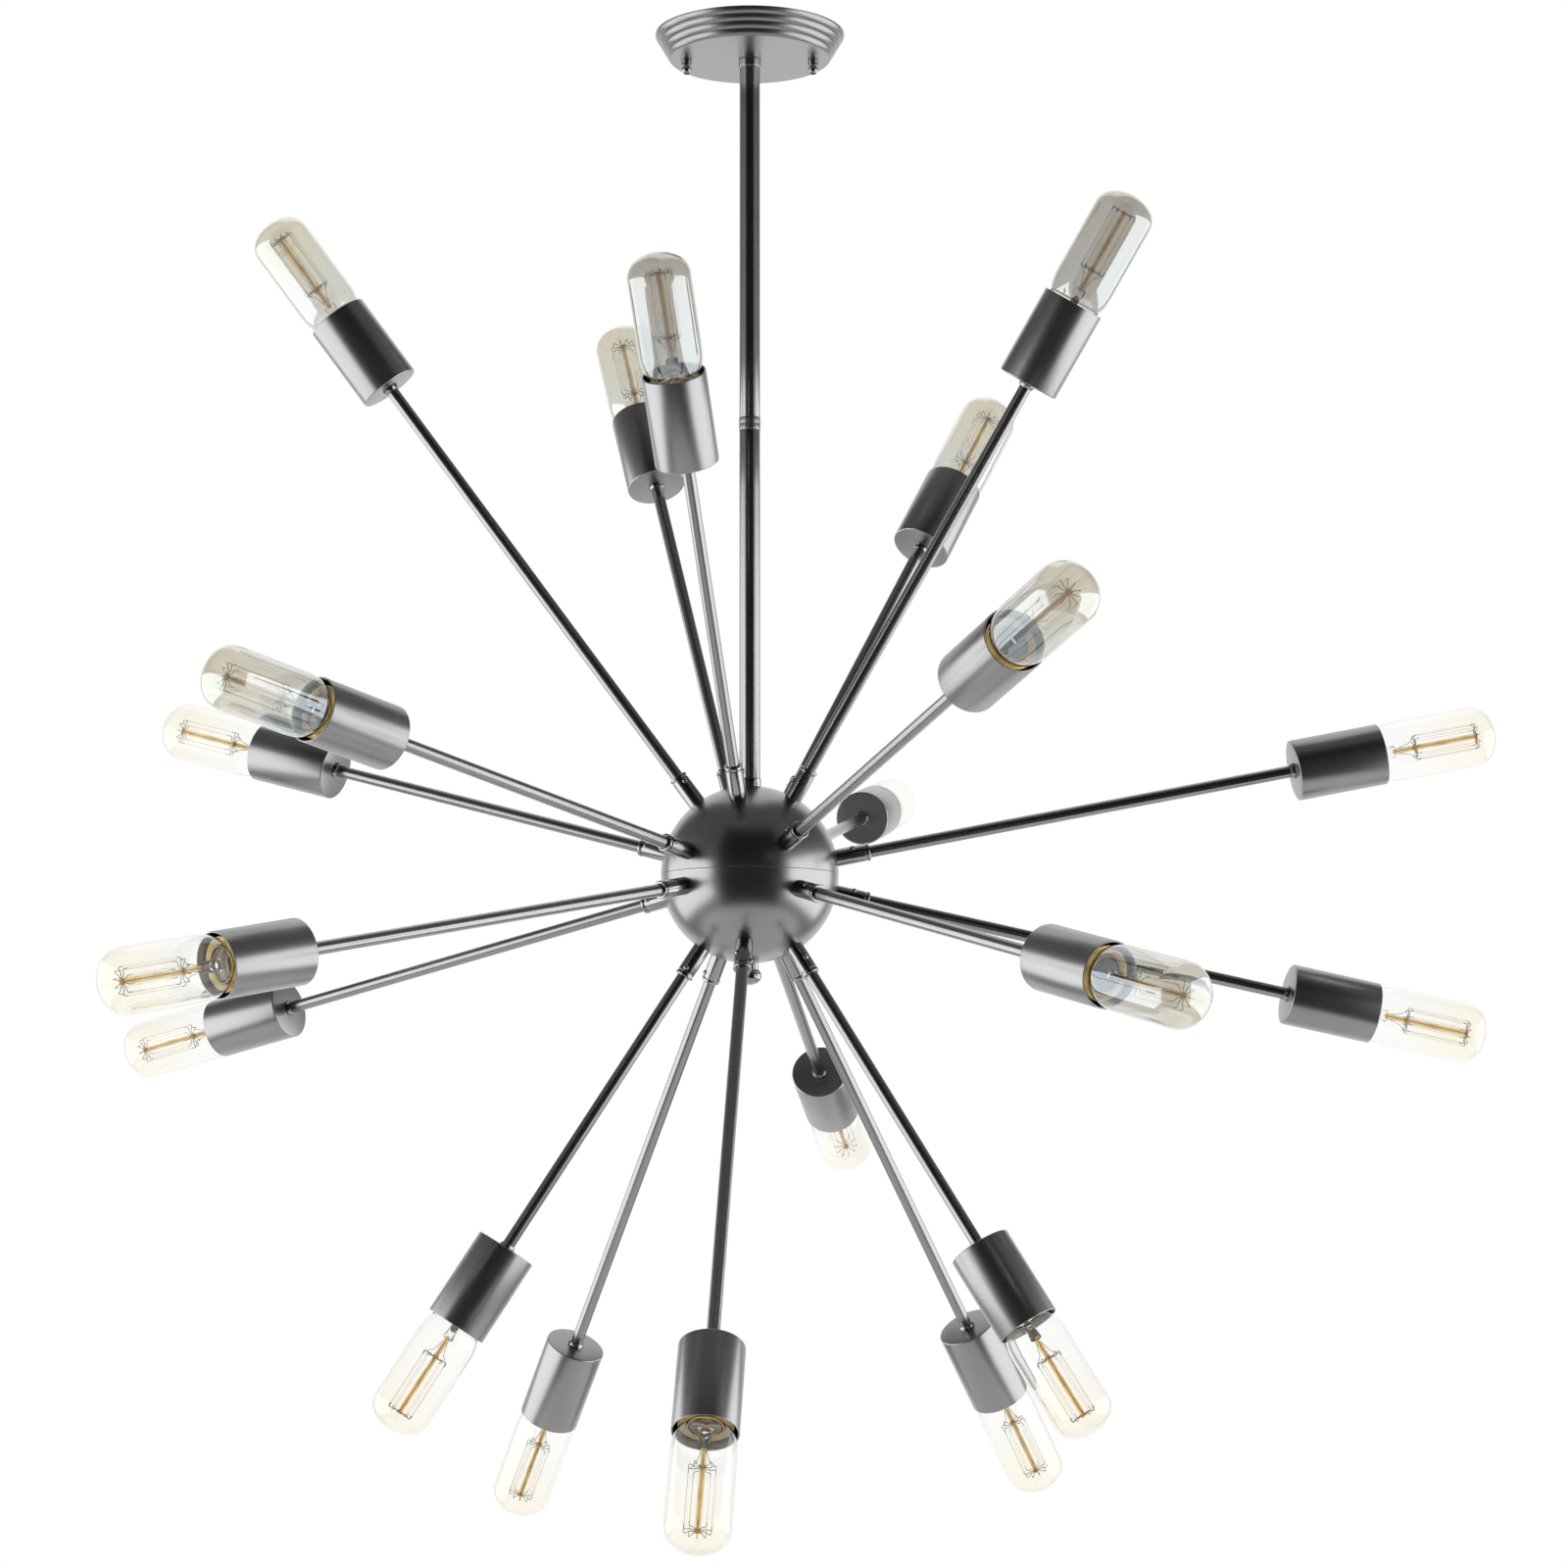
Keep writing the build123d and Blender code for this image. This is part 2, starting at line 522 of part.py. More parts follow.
# ------------------------------------------------------------------------ write it all
def main():
    os.makedirs("parts", exist_ok=True)

    write("mounting_bar", mounting_bar())
    write("canopy", canopy())
    write("canopy_studs", *canopy_studs())
    write("ball_nut_left", ball_nut(-1))
    write("ball_nut_right", ball_nut(1))
    write("top_nipple", top_nipple())
    write("nipple_nuts", *nipple_nuts())

    write("stem_collar", stem_collar())
    write("stem_upper", stem_pipe(COUPLER_Z + COUPLER_H / 2, STEM_TOP))
    write("stem_coupler", stem_coupler())
    write("stem_lower", stem_pipe(STEM_FOOT, COUPLER_Z - COUPLER_H / 2))
    write("stem_foot", stem_foot())

    write("hub_upper", hub_half(1))
    write("hub_lower", hub_half(-1))
    write("hub_rod", hub_rod())
    write("hub_nut", hub_nut())
    write("hub_finial", hub_finial())

    one_collar, one_nut, two_screws = collar(), collar_nut(), set_screws()
    one_cup, one_ferrule, one_cup_nut = cup(), ferrule(), cup_nut()
    one_holder, one_sleeve, one_leaf = lampholder(), screw_sleeve(), contact_leaf()
    lamp = (glass_envelope(), lamp_base(), filament_mount())

    def at_back(arm):
        return arm_place(arm) * Pos(0, 0, HUB_R + arm.reach)

    def at_mouth(arm):
        return at_back(arm) * Pos(0, 0, CUP_LENGTH)

    for tier in TIERS:
        five = [arm for arm in ARMS if arm.tier == tier]
        write(f"collars_{tier}", *[arm_place(arm) * one_collar for arm in five])
        write(f"tubes_{tier}", *[arm_place(arm) * arm_tube(arm.reach) for arm in five])
        write(f"cups_{tier}", *[at_back(arm) * one_cup for arm in five])
        write(f"lampholders_{tier}", *[at_mouth(arm) * one_holder for arm in five])

    write("collar_nuts", *[arm_place(arm) * one_nut for arm in ARMS])
    write("set_screws", *[arm_place(arm) * screw for arm in ARMS for screw in two_screws])
    write("cup_ferrules", *[at_back(arm) * one_ferrule for arm in ARMS])
    write("cup_nuts", *[at_back(arm) * one_cup_nut for arm in ARMS])
    write("screw_sleeves", *[at_mouth(arm) * one_sleeve for arm in ARMS])
    write("contact_leaves", *[at_mouth(arm) * one_leaf for arm in ARMS])
    for number, arm in enumerate(ARMS, 1):
        write(f"bulb_{number:02d}", *[at_mouth(arm) * piece for piece in lamp])


if __name__ == "__main__":
    main()
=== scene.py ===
"""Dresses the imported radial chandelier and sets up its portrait.

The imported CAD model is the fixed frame: metres, +Z up, the ceiling at Z = 0, the camera
side at -Y. Each sub-assembly is a class that rebuilds its visible pieces with finer forms,
gives them their finishes and lets them ride on their CAD bodies. Sizes are in millimetres
as on the drawing, and become metres where a mesh is made.
"""

from __future__ import annotations

import json
import logging
import math
import random
from dataclasses import dataclass, field
from enum import Enum
from typing import Any, Callable, Iterable, Mapping, Sequence, Union

import bmesh
import bpy
from mathutils import Matrix, Vector

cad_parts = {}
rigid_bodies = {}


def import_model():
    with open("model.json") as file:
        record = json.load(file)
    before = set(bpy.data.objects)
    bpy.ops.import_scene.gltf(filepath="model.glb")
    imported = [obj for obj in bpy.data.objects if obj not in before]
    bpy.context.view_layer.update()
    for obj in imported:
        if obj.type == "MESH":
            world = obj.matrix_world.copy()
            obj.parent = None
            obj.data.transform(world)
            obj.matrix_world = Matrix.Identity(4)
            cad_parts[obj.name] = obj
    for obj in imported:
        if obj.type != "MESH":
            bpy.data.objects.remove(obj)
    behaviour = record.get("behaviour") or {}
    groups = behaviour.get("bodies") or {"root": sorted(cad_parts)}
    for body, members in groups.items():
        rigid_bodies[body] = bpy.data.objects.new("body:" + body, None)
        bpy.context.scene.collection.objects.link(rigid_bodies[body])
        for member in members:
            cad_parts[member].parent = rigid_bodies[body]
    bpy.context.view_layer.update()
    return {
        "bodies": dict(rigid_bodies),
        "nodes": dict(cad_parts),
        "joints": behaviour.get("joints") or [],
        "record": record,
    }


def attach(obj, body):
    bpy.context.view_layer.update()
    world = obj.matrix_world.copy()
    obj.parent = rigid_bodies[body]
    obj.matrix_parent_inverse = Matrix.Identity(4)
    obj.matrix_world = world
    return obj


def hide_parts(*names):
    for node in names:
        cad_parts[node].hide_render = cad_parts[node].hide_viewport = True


LOG = logging.getLogger("chandelier")
MM = 0.001
PLACE = "place"  # a point's position in its piece's own frame, in metres
TONE = "tone"  # one number per repeated piece, so that no two are quite alike
# the gunmetal finishes paint a light highlight where this mark is high
EDGE = "edge"  # 1 on a rounded edge, 0 on the faces beside it

Station = tuple[float, float, float]  # radius, height, edge


class Slot(Enum):
    """The record's material slots."""

    SATIN = "satin_gunmetal"
    POLISHED = "polished_gunmetal"
    STEEL = "zinc_steel"
    BRASS = "brass"
    HOLDER = "lampholder_black"
    GLASS = "clear_glass"


class Body(Enum):
    """The CAD bodies that are not lamps."""

    FIXTURE = "fixture"
    LEFT_NUT = "left_ball_nut"
    RIGHT_NUT = "right_ball_nut"
    FINIAL = "finial"


# ------------------------------------------------------------------------ node building
class Wire:
    """A node's output socket that takes part in arithmetic."""

    def __init__(self, graph: "Graph", socket: bpy.types.NodeSocket) -> None:
        """Wraps one output socket of a graph."""
        self.graph = graph
        self.socket = socket

    def _math(self, operation: str, first: Any, second: Any = None) -> "Wire":
        """Adds one Math node.

        Args:
            operation: The Math node's operation.
            first: The first operand, a wire or a number.
            second: The second operand, if the operation takes one.

        Returns:
            The node's result.
        """
        sockets = {0: first} if second is None else {0: first, 1: second}
        return self.graph.get("ShaderNodeMath", {"operation": operation}, sockets)

    def __add__(self, other: Any) -> "Wire":
        """self + other."""
        return self._math("ADD", self, other)

    __radd__ = __add__

    def __sub__(self, other: Any) -> "Wire":
        """self - other."""
        return self._math("SUBTRACT", self, other)

    def __rsub__(self, other: Any) -> "Wire":
        """other - self."""
        return self._math("SUBTRACT", other, self)

    def __mul__(self, other: Any) -> "Wire":
        """self * other."""
        return self._math("MULTIPLY", self, other)

    def __truediv__(self, other: Any) -> "Wire":
        """self / other."""
        return self._math("DIVIDE", self, other)

    def __pow__(self, other: Any) -> "Wire":
        """self ** other."""
        return self._math("POWER", self, other)

    def largest(self, other: Any) -> "Wire":
        """The larger of this value and another."""
        return self._math("MAXIMUM", self, other)

    def between(self, low: float, high: float) -> "Wire":
        """A smooth step from 0 at low to 1 at high.

        Args:
            low: Where the step starts.
            high: Where the step ends.

        Returns:
            The step's value.
        """
        ends = {"Value": self, "From Min": low, "From Max": high}
        smooth = {"interpolation_type": "SMOOTHSTEP"}
        return self.graph.get("ShaderNodeMapRange", smooth, ends, "Result")


class Graph:
    """A node tree under construction, for a shader or for geometry."""

    def __init__(self, tree: bpy.types.NodeTree) -> None:
        """Takes over an empty or a new tree."""
        self.tree = tree

    def make(
        self,
        kind: str,
        settings: Mapping[str, Any] | None = None,
        sockets: Mapping[Union[str, int], Any] | None = None,
    ) -> bpy.types.Node:
        """Adds a node, sets it up and links it.

        Args:
            kind: The node's type name.
            settings: Its own settings, set before its sockets. "stops" gives a ramp's stops.
            sockets: Values or wires for its input sockets, by name or by position.

        Returns:
            The new node.
        """
        node = self.tree.nodes.new(kind)
        for name, value in (settings or {}).items():
            if name == "stops":
                ramp = node.color_ramp
                while len(ramp.elements) < len(value):
                    ramp.elements.new(0.5)
                for element, (position, colour) in zip(ramp.elements, value):
                    element.position, element.color = position, (*colour, 1.0)
            else:
                setattr(node, name, value)
        for key, value in (sockets or {}).items():
            socket = self._pick(node.inputs, key)
            if isinstance(value, Wire):
                self.tree.links.new(value.socket, socket)
            else:
                socket.default_value = value
        return node

    @staticmethod
    def _pick(sockets: Any, key: Union[str, int]) -> bpy.types.NodeSocket:
        """The socket at a position, or the enabled one of that name."""
        if isinstance(key, int):
            return sockets[key]
        return next(s for s in sockets if s.name == key and s.enabled)

    def wire(self, node: bpy.types.Node, key: Union[str, int] = 0) -> Wire:
        """An output of a node, by name or position."""
        return Wire(self, self._pick(node.outputs, key))

    def get(
        self,
        kind: str,
        settings: Mapping[str, Any] | None = None,
        sockets: Mapping[Union[str, int], Any] | None = None,
        key: Union[str, int] = 0,
    ) -> Wire:
        """Adds a node as make does.

        Args:
            kind: The node's type name.
            settings: Its own settings.
            sockets: Values or wires for its input sockets.
            key: Which of its outputs is wanted, by name or position.

        Returns:
            That output.
        """
        return self.wire(self.make(kind, settings, sockets), key)

    def vector(self, operation: str, first: Any, second: Any = None) -> Wire:
        """Adds one Vector Math node.

        Args:
            operation: The node's operation.
            first: The first operand.
            second: The second operand, if there is one.

        Returns:
            The node's vector, or its value for a dot product or a length.
        """
        sockets = {0: first} if second is None else {0: first, 1: second}
        output = "Value" if operation in ("DOT_PRODUCT", "LENGTH") else "Vector"
        return self.get("ShaderNodeVectorMath", {"operation": operation}, sockets, output)

    def link(self, wire: Wire, node: bpy.types.Node, key: Union[str, int]) -> None:
        """Runs a wire into a node's input."""
        self.tree.links.new(wire.socket, self._pick(node.inputs, key))


class ShaderGraph(Graph):
    """A material's node tree with its Principled shader and its usual inputs."""

    def __init__(self, name: str) -> None:
        """Starts a material with a Principled shader on its output."""
        self.material = bpy.data.materials.new(name)
        self.material.use_nodes = True
        super().__init__(self.material.node_tree)
        self.tree.nodes.clear()
        self.shader = self.make("ShaderNodeBsdfPrincipled")
        surface = self.make("ShaderNodeOutputMaterial")
        self.link(self.wire(self.shader), surface, "Surface")

    def attribute(self, name: str, output: str = "Fac") -> Wire:
        """Reads one of the mesh's own attributes."""
        return self.get("ShaderNodeAttribute", {"attribute_name": name}, {}, output)

    def object_place(self) -> Wire:
        """Object coordinates, for a CAD node, whose place is in its mesh."""
        return self.get("ShaderNodeTexCoord", key="Object")

    def noise(self, place: Wire, stretch: Sequence[float], detail: float = 2.0) -> Wire:
        """Noise over a stretched place.

        Args:
            place: The coordinates, in metres.
            stretch: How many waves a metre holds along each axis.
            detail: How many finer octaves are added.

        Returns:
            A value around 0.5.
        """
        spread = self.vector("MULTIPLY", place, tuple(stretch))
        waves = {"Vector": spread, "Scale": 1.0, "Detail": detail}
        return self.get("ShaderNodeTexNoise", {}, waves)

    def blend(self, share: Any, first: Any, second: Any) -> Wire:
        """Mixes two colours.

        Args:
            share: How much of the second one shows.
            first: The first colour.
            second: The second colour.

        Returns:
            The mixed colour.
        """
        colours = [c if isinstance(c, Wire) else (*c, 1.0) for c in (first, second)]
        sockets = {"Factor": share, "A": colours[0], "B": colours[1]}
        return self.get("ShaderNodeMix", {"data_type": "RGBA"}, sockets, "Result")

    def bump(self, height: Wire, strength: float, distance: float) -> None:
        """Feeds a height into the shader's normal.

        Args:
            height: The height, about 0 to 1.
            strength: The bump's strength.
            distance: What a height of 1 means, in metres.
        """
        sockets = {"Strength": strength, "Distance": distance, "Height": height}
        self.link(self.get("ShaderNodeBump", {}, sockets, "Normal"), self.shader, "Normal")

    def feed(self, **sockets: Any) -> None:
        """Sets or links the shader's inputs; an underscore in a name stands for a space."""
        for key, value in sockets.items():
            name = key.replace("_", " ")
            if isinstance(value, Wire):
                self.link(value, self.shader, name)
            else:
                self._pick(self.shader.inputs, name).default_value = value


# ----------------------------------------------------------------------------- finishes
@dataclass(frozen=True)
class Finish:
    """A finish under its name. Each kind feeds the shader in its own way."""

    name: str

    def paint(self, graph: ShaderGraph) -> None:
        """Feeds the shader.

        Args:
            graph: The material's node tree.
        """
        raise NotImplementedError

    def build(self) -> bpy.types.Material:
        """Makes the material.

        Returns:
            The finished material.
        """
        graph = ShaderGraph(self.name)
        self.paint(graph)
        return graph.material


@dataclass(frozen=True)
class SpunMetal(Finish):
    """Gunmetal plate over turned or spun metal, brushed round its own axis, with a painted
    highlight along its rounded edges.
    """

    tint: tuple[float, float, float]
    roughness: float
    streak: float  # how much the brushing shows in colour and roughness
    scratch: float  # depth of the brushing, in micrometres
    pitch: float = 0.55  # spacing of the brush marks, in millimetres
    # the light grey of the painted highlight on rounded edges
    highlight_tint: tuple[float, float, float] = (0.62, 0.61, 0.60)

    def paint(self, graph: ShaderGraph) -> None:
        """Feeds the shader."""
        tone = graph.attribute(TONE)
        own = {"X": tone * 3.1, "Y": tone * 1.7, "Z": tone}
        drift = graph.get("ShaderNodeCombineXYZ", {}, own)
        place = graph.vector("ADD", graph.attribute(PLACE, "Vector"), drift)
        fine = 1000.0 / self.pitch
        brushed = graph.noise(place, (18.0, 18.0, fine), 3.0)
        broad = graph.noise(place, (9.0, 9.0, fine / 9), 2.0)
        cloud = graph.noise(place, (34.0, 34.0, 26.0), 3.0)
        marks = brushed * 0.65 + broad * 0.35
        # rounded edges are blended towards the light grey: a painted highlight, not wear
        edge_highlight = graph.attribute(EDGE).between(0.35, 1.0) * 0.55

        share = ((marks - 0.5) * self.streak + (cloud - 0.5) * 0.2 + 0.5).between(0.0, 1.0)
        dark = tuple(0.80 * c for c in self.tint)
        light = tuple(1.20 * c for c in self.tint)
        colour = graph.blend(edge_highlight, graph.blend(share, dark, light), self.highlight_tint)
        rough = (
            self.roughness
            + (marks - 0.5) * (0.16 * self.streak)
            + (cloud - 0.5) * 0.05
            + (tone - 0.5) * 0.02
        )
        graph.feed(Base_Color=colour, Metallic=1.0, Roughness=rough)
        graph.bump(marks, 1.0, self.scratch * 1e-6)


@dataclass(frozen=True)
class PlatedSteel(Finish):
    """Passivated zinc on the fixings that stay inside."""

    tint: tuple[float, float, float] = (0.55, 0.56, 0.56)

    def paint(self, graph: ShaderGraph) -> None:
        """Feeds the shader."""
        place = graph.object_place()
        cloud = graph.noise(place, (70.0, 70.0, 70.0), 4.0)
        grain = graph.noise(place, (1400.0, 1400.0, 1400.0), 2.0)
        warm = tuple(c * s for c, s in zip(self.tint, (1.06, 0.98, 0.84)))
        graph.feed(
            Base_Color=graph.blend(cloud.between(0.42, 0.66), self.tint, warm),
            Metallic=1.0,
            Roughness=0.34 + (cloud - 0.5) * 0.3 + (grain - 0.5) * 0.1,
        )
        graph.bump(grain, 0.5, 8e-6)


@dataclass(frozen=True)
class Brass(Finish):
    """Rolled brass of sleeves and screw shells, a little tarnished."""

    tint: tuple[float, float, float] = (0.72, 0.47, 0.17)
    tarnish: tuple[float, float, float] = (0.34, 0.19, 0.06)

    def paint(self, graph: ShaderGraph) -> None:
        """Feeds the shader."""
        place = graph.attribute(PLACE, "Vector")
        cloud = graph.noise(place, (160.0, 160.0, 120.0), 4.0)
        rolled = graph.noise(place, (60.0, 60.0, 2400.0), 2.0)
        graph.feed(
            Base_Color=graph.blend(cloud.between(0.45, 0.75) * 0.7, self.tint, self.tarnish),
            Metallic=1.0,
            Roughness=0.22 + (cloud - 0.5) * 0.25 + (rolled - 0.5) * 0.1,
        )
        graph.bump(rolled, 0.6, 6e-6)


@dataclass(frozen=True)
class MouldedBlack(Finish):
    """Black thermoset of the lampholders and of the lamps' insulators."""

    tint: tuple[float, float, float] = (0.018, 0.018, 0.019)
    roughness: float = 0.38

    def paint(self, graph: ShaderGraph) -> None:
        """Feeds the shader."""
        place = graph.attribute(PLACE, "Vector")
        grain = graph.noise(place, (2600.0, 2600.0, 2600.0), 2.0)
        flow = graph.noise(place, (120.0, 120.0, 60.0), 3.0)
        pale = tuple(1.9 * c for c in self.tint)
        graph.feed(
            Base_Color=graph.blend(flow.between(0.4, 0.8), self.tint, pale),
            Roughness=self.roughness + (flow - 0.5) * 0.2 + (grain - 0.5) * 0.12,
        )
        graph.bump(grain, 0.7, 12e-6)


@dataclass(frozen=True)
class CoatedGlass(Finish):
    """Bulb glass, amber towards the crown. A lustre coat mirrors blue and passes amber."""

    clear: tuple[float, float, float] = (0.995, 0.995, 0.985)
    amber: tuple[float, float, float] = (0.995, 0.970, 0.905)
    film: float = 0.0  # thickness of the lustre coat, in nanometres
    film_index: float = 1.8
    index: float = 1.42

    def paint(self, graph: ShaderGraph) -> None:
        """Feeds the shader."""
        place = graph.attribute(PLACE, "Vector")
        ripple = graph.noise(place, (30.0, 30.0, 8.0), 1.0)
        haze = graph.noise(place, (90.0, 90.0, 45.0), 3.0)
        height = graph.get("ShaderNodeSeparateXYZ", {}, {0: place}, "Z")
        crown = height.between(0.0, 0.095) * 0.85 + (ripple - 0.5) * 0.5
        coat = graph.blend(crown.between(0.0, 1.0), self.clear, self.amber)
        graph.feed(
            Base_Color=coat,
            Roughness=haze.between(0.55, 0.85) * 0.03,
            IOR=self.index,
            Transmission_Weight=1.0,
            Thin_Film_Thickness=self.film,
            Thin_Film_IOR=self.film_index,
        )
        graph.bump(ripple, 0.4, 60e-6)


@dataclass(frozen=True)
class WireMetal(Finish):
    """Drawn wire, bright or blackened, and the gilt post of the lamps."""

    tint: tuple[float, float, float]
    roughness: float

    def paint(self, graph: ShaderGraph) -> None:
        """Feeds the shader."""
        drawn = graph.noise(graph.attribute(PLACE, "Vector"), (900.0, 900.0, 120.0), 2.0)
        dark = tuple(0.7 * c for c in self.tint)
        graph.feed(
            Base_Color=graph.blend(drawn.between(0.35, 0.7), self.tint, dark),
            Metallic=1.0,
            Roughness=self.roughness + (drawn - 0.5) * 0.2,
        )


@dataclass
class Finishes:
    """Every finish of the chandelier, made once and shared."""

    satin: bpy.types.Material
    tube: bpy.types.Material
    hub: bpy.types.Material
    underside: bpy.types.Material
    ribbed: bpy.types.Material
    polished: bpy.types.Material
    steel: bpy.types.Material
    brass: bpy.types.Material
    shell: bpy.types.Material
    holder: bpy.types.Material
    glass: bpy.types.Material
    lustre: bpy.types.Material
    smoked: bpy.types.Material
    stem_glass: bpy.types.Material
    gilt: bpy.types.Material
    amber: bpy.types.Material
    strand: bpy.types.Material
    dark_wire: bpy.types.Material
    solder: bpy.types.Material

    @classmethod
    def make(cls) -> "Finishes":
        """Builds all the materials."""
        gunmetal = (0.34, 0.34, 0.345)
        kinds: dict[str, Finish] = dict(
            satin=SpunMetal("satin_gunmetal", gunmetal, 0.30, 0.16, 0.15, 1.0),
            tube=SpunMetal("satin_tube", gunmetal, 0.22, 0.05, 0.05, 1.0),
            hub=SpunMetal("satin_hub", (0.33, 0.33, 0.335), 0.27, 0.12, 0.12, 1.2),
            underside=SpunMetal("satin_canopy", (0.36, 0.36, 0.36), 0.34, 0.4, 0.8, 0.9),
            # the ribbed cone is tinted darker than the underside of the same pan: painted shade
            ribbed=SpunMetal("ribbed_canopy", (0.30, 0.30, 0.30), 0.31, 0.10, 0.10, 0.9),
            polished=SpunMetal("polished_gunmetal", (0.36, 0.36, 0.365), 0.13, 0.10, 0.05),
            steel=PlatedSteel("zinc_steel"),
            brass=Brass("brass_sleeve", (0.58, 0.42, 0.18), (0.26, 0.16, 0.06)),
            shell=Brass("brass_shell", (0.80, 0.58, 0.26), (0.45, 0.27, 0.09)),
            holder=MouldedBlack("lampholder_black"),
            glass=CoatedGlass("clear_glass"),
            lustre=CoatedGlass("lustre_glass", (0.84, 0.85, 0.82), (0.86, 0.84, 0.75), 58.0, 1.9),
            smoked=CoatedGlass("smoked_glass", (0.67, 0.67, 0.64), (0.68, 0.66, 0.61), 58.0, 2.0),
            stem_glass=CoatedGlass("stem_glass", (0.99,) * 3, (0.99,) * 3, index=1.5),
            gilt=WireMetal("gilt_rod", (0.97, 0.74, 0.34), 0.25),
            amber=WireMetal("amber_gilt", (0.55, 0.31, 0.10), 0.3),
            strand=WireMetal("gilt_strand", (0.72, 0.62, 0.40), 0.30),
            dark_wire=WireMetal("support_wire", (0.15, 0.14, 0.12), 0.3),
            solder=WireMetal("solder_tip", (0.62, 0.62, 0.60), 0.35),
        )
        return cls(**{key: finish.build() for key, finish in kinds.items()})


# ----------------------------------------------------------------------- mesh building
@dataclass(frozen=True)
class Corner:
    """A corner of a turned profile: radius and height, and how far it is rounded, in mm."""

    radius: float
    height: float
    rounding: float = 0.0


def arc(
    centre: tuple[float, float], radius: float, start: float, end: float, steps: int
) -> list[Station]:
    """Stations along a circular arc of a profile.

    Args:
        centre: The arc's centre (radius, height), in mm.
        radius: The arc's radius, in mm.
        start: Its first angle from the radial direction, in degrees.
        end: Its last angle.
        steps: Into how many chords it is cut.

    Returns:
        The stations, both ends included.
    """
    turns = [math.radians(start + (end - start) * k / steps) for k in range(steps + 1)]
    return [
        (max(0.0, centre[0] + radius * math.cos(t)), centre[1] + radius * math.sin(t), 0.0)
        for t in turns
    ]


def rounded(corners: Sequence[Corner], closed: bool = True, steps: int = 4) -> list[Station]:
    """Turns corners into stations, with an arc at each rounded corner.

    Args:
        corners: The profile's corners in order.
        closed: Whether the last corner joins the first.
        steps: Into how many chords each rounding is cut.

    Returns:
        The stations. A rounding's middle carries the edge mark.
    """
    made: list[Station] = []
    count = len(corners)
    for index, corner in enumerate(corners):
        end = not closed and index in (0, count - 1)
        if corner.rounding <= 0 or end:
            made.append((corner.radius, corner.height, 0.0))
            continue
        here = Vector((corner.radius, corner.height))
        before = corners[index - 1]
        after = corners[(index + 1) % count]
        back = Vector((before.radius, before.height)) - here
        ahead = Vector((after.radius, after.height)) - here
        reach = min(back.length, ahead.length) * 0.49
        back.normalize()
        ahead.normalize()
        half = back.angle(ahead) / 2
        setback = min(corner.rounding / math.tan(half), reach)
        radius = setback * math.tan(half)
        middle = here + (back + ahead).normalized() * (radius / math.sin(half))
        first, last = here + back * setback - middle, here + ahead * setback - middle
        turn = math.atan2(first.x * last.y - first.y * last.x, first.dot(last))
        for step in range(steps + 1):
            angle = turn * step / steps
            spoke = Matrix.Rotation(angle, 2) @ first
            mark = 1.0 - abs(2 * step / steps - 1)
            made.append((max(0.0, middle.x + spoke.x), middle.y + spoke.y, mark))
    return made


def mark_place(mesh: bpy.types.Mesh, origin: Vector | None = None) -> bpy.types.Mesh:
    """Stores each vertex's position in its piece's own frame.

    Args:
        mesh: The mesh, still in that frame.
        origin: The frame's origin, where it isn't the mesh's own.

    Returns:
        The same mesh.
    """
    start = origin or Vector()
    layer = mesh.attributes.get(PLACE) or mesh.attributes.new(PLACE, "FLOAT_VECTOR", "POINT")
    layer.data.foreach_set("vector", [c for v in mesh.vertices for c in v.co - start])
    return mesh


def soften(mesh: bpy.types.Mesh, degrees: float = 35.0) -> bpy.types.Mesh:
    """Shades a mesh smooth, with its hard edges kept sharp."""
    mesh.polygons.foreach_set("use_smooth", [True] * len(mesh.polygons))
    mesh.set_sharp_from_angle(angle=math.radians(degrees))
    return mesh


def face_out(mesh: bpy.types.Mesh) -> bpy.types.Mesh:
    """Points every face of a closed mesh outwards."""
    work = bmesh.new()
    work.from_mesh(mesh)
    bmesh.ops.remove_doubles(work, verts=work.verts, dist=1e-7)
    bmesh.ops.recalc_face_normals(work, faces=work.faces)
    work.to_mesh(mesh)
    work.free()
    return mesh


def turned(
    name: str,
    stations: Sequence[Station],
    segments: int = 64,
    closed: bool = True,
    shape: Callable[[float, float, float], float] | None = None,
) -> bpy.types.Mesh:
    """Spins a profile about Z.

    Args:
        name: The mesh's name.
        stations: The profile, in mm. A radius of 0 makes a pole.
        segments: How many steps the turn has.
        closed: Whether the profile's last station joins its first.
        shape: Changes a radius by (radius, height, angle), for a thread.

    Returns:
        The mesh in metres, with its place and edge attributes.
    """
    verts: list[tuple[float, float, float]] = []
    marks: list[float] = []
    rings: list[list[int]] = []
    for radius, height, mark in stations:
        if radius < 1e-6:
            rings.append([len(verts)] * segments)
            verts.append((0.0, 0.0, height * MM))
            marks.append(mark)
            continue
        ring = []
        for step in range(segments):
            turn = math.tau * step / segments
            r = shape(radius, height, turn) if shape else radius
            ring.append(len(verts))
            verts.append((r * math.cos(turn) * MM, r * math.sin(turn) * MM, height * MM))
            marks.append(mark)
        rings.append(ring)
    pairs = list(zip(rings, rings[1:]))
    if closed and not (stations[0][0] < 1e-6 and stations[-1][0] < 1e-6):
        pairs.append((rings[-1], rings[0]))
    faces = []
    for low, high in pairs:
        for step in range(segments):
            after = (step + 1) % segments
            face = [low[step], low[after], high[after], high[step]]
            face = [v for k, v in enumerate(face) if v != face[k - 1]]
            if len(face) > 2:
                faces.append(face)
    mesh = bpy.data.meshes.new(name)
    mesh.from_pydata(verts, [], faces)
    layer = mesh.attributes.new(EDGE, "FLOAT", "POINT")
    layer.data.foreach_set("value", marks)
    face_out(mesh)
    return soften(mark_place(mesh))


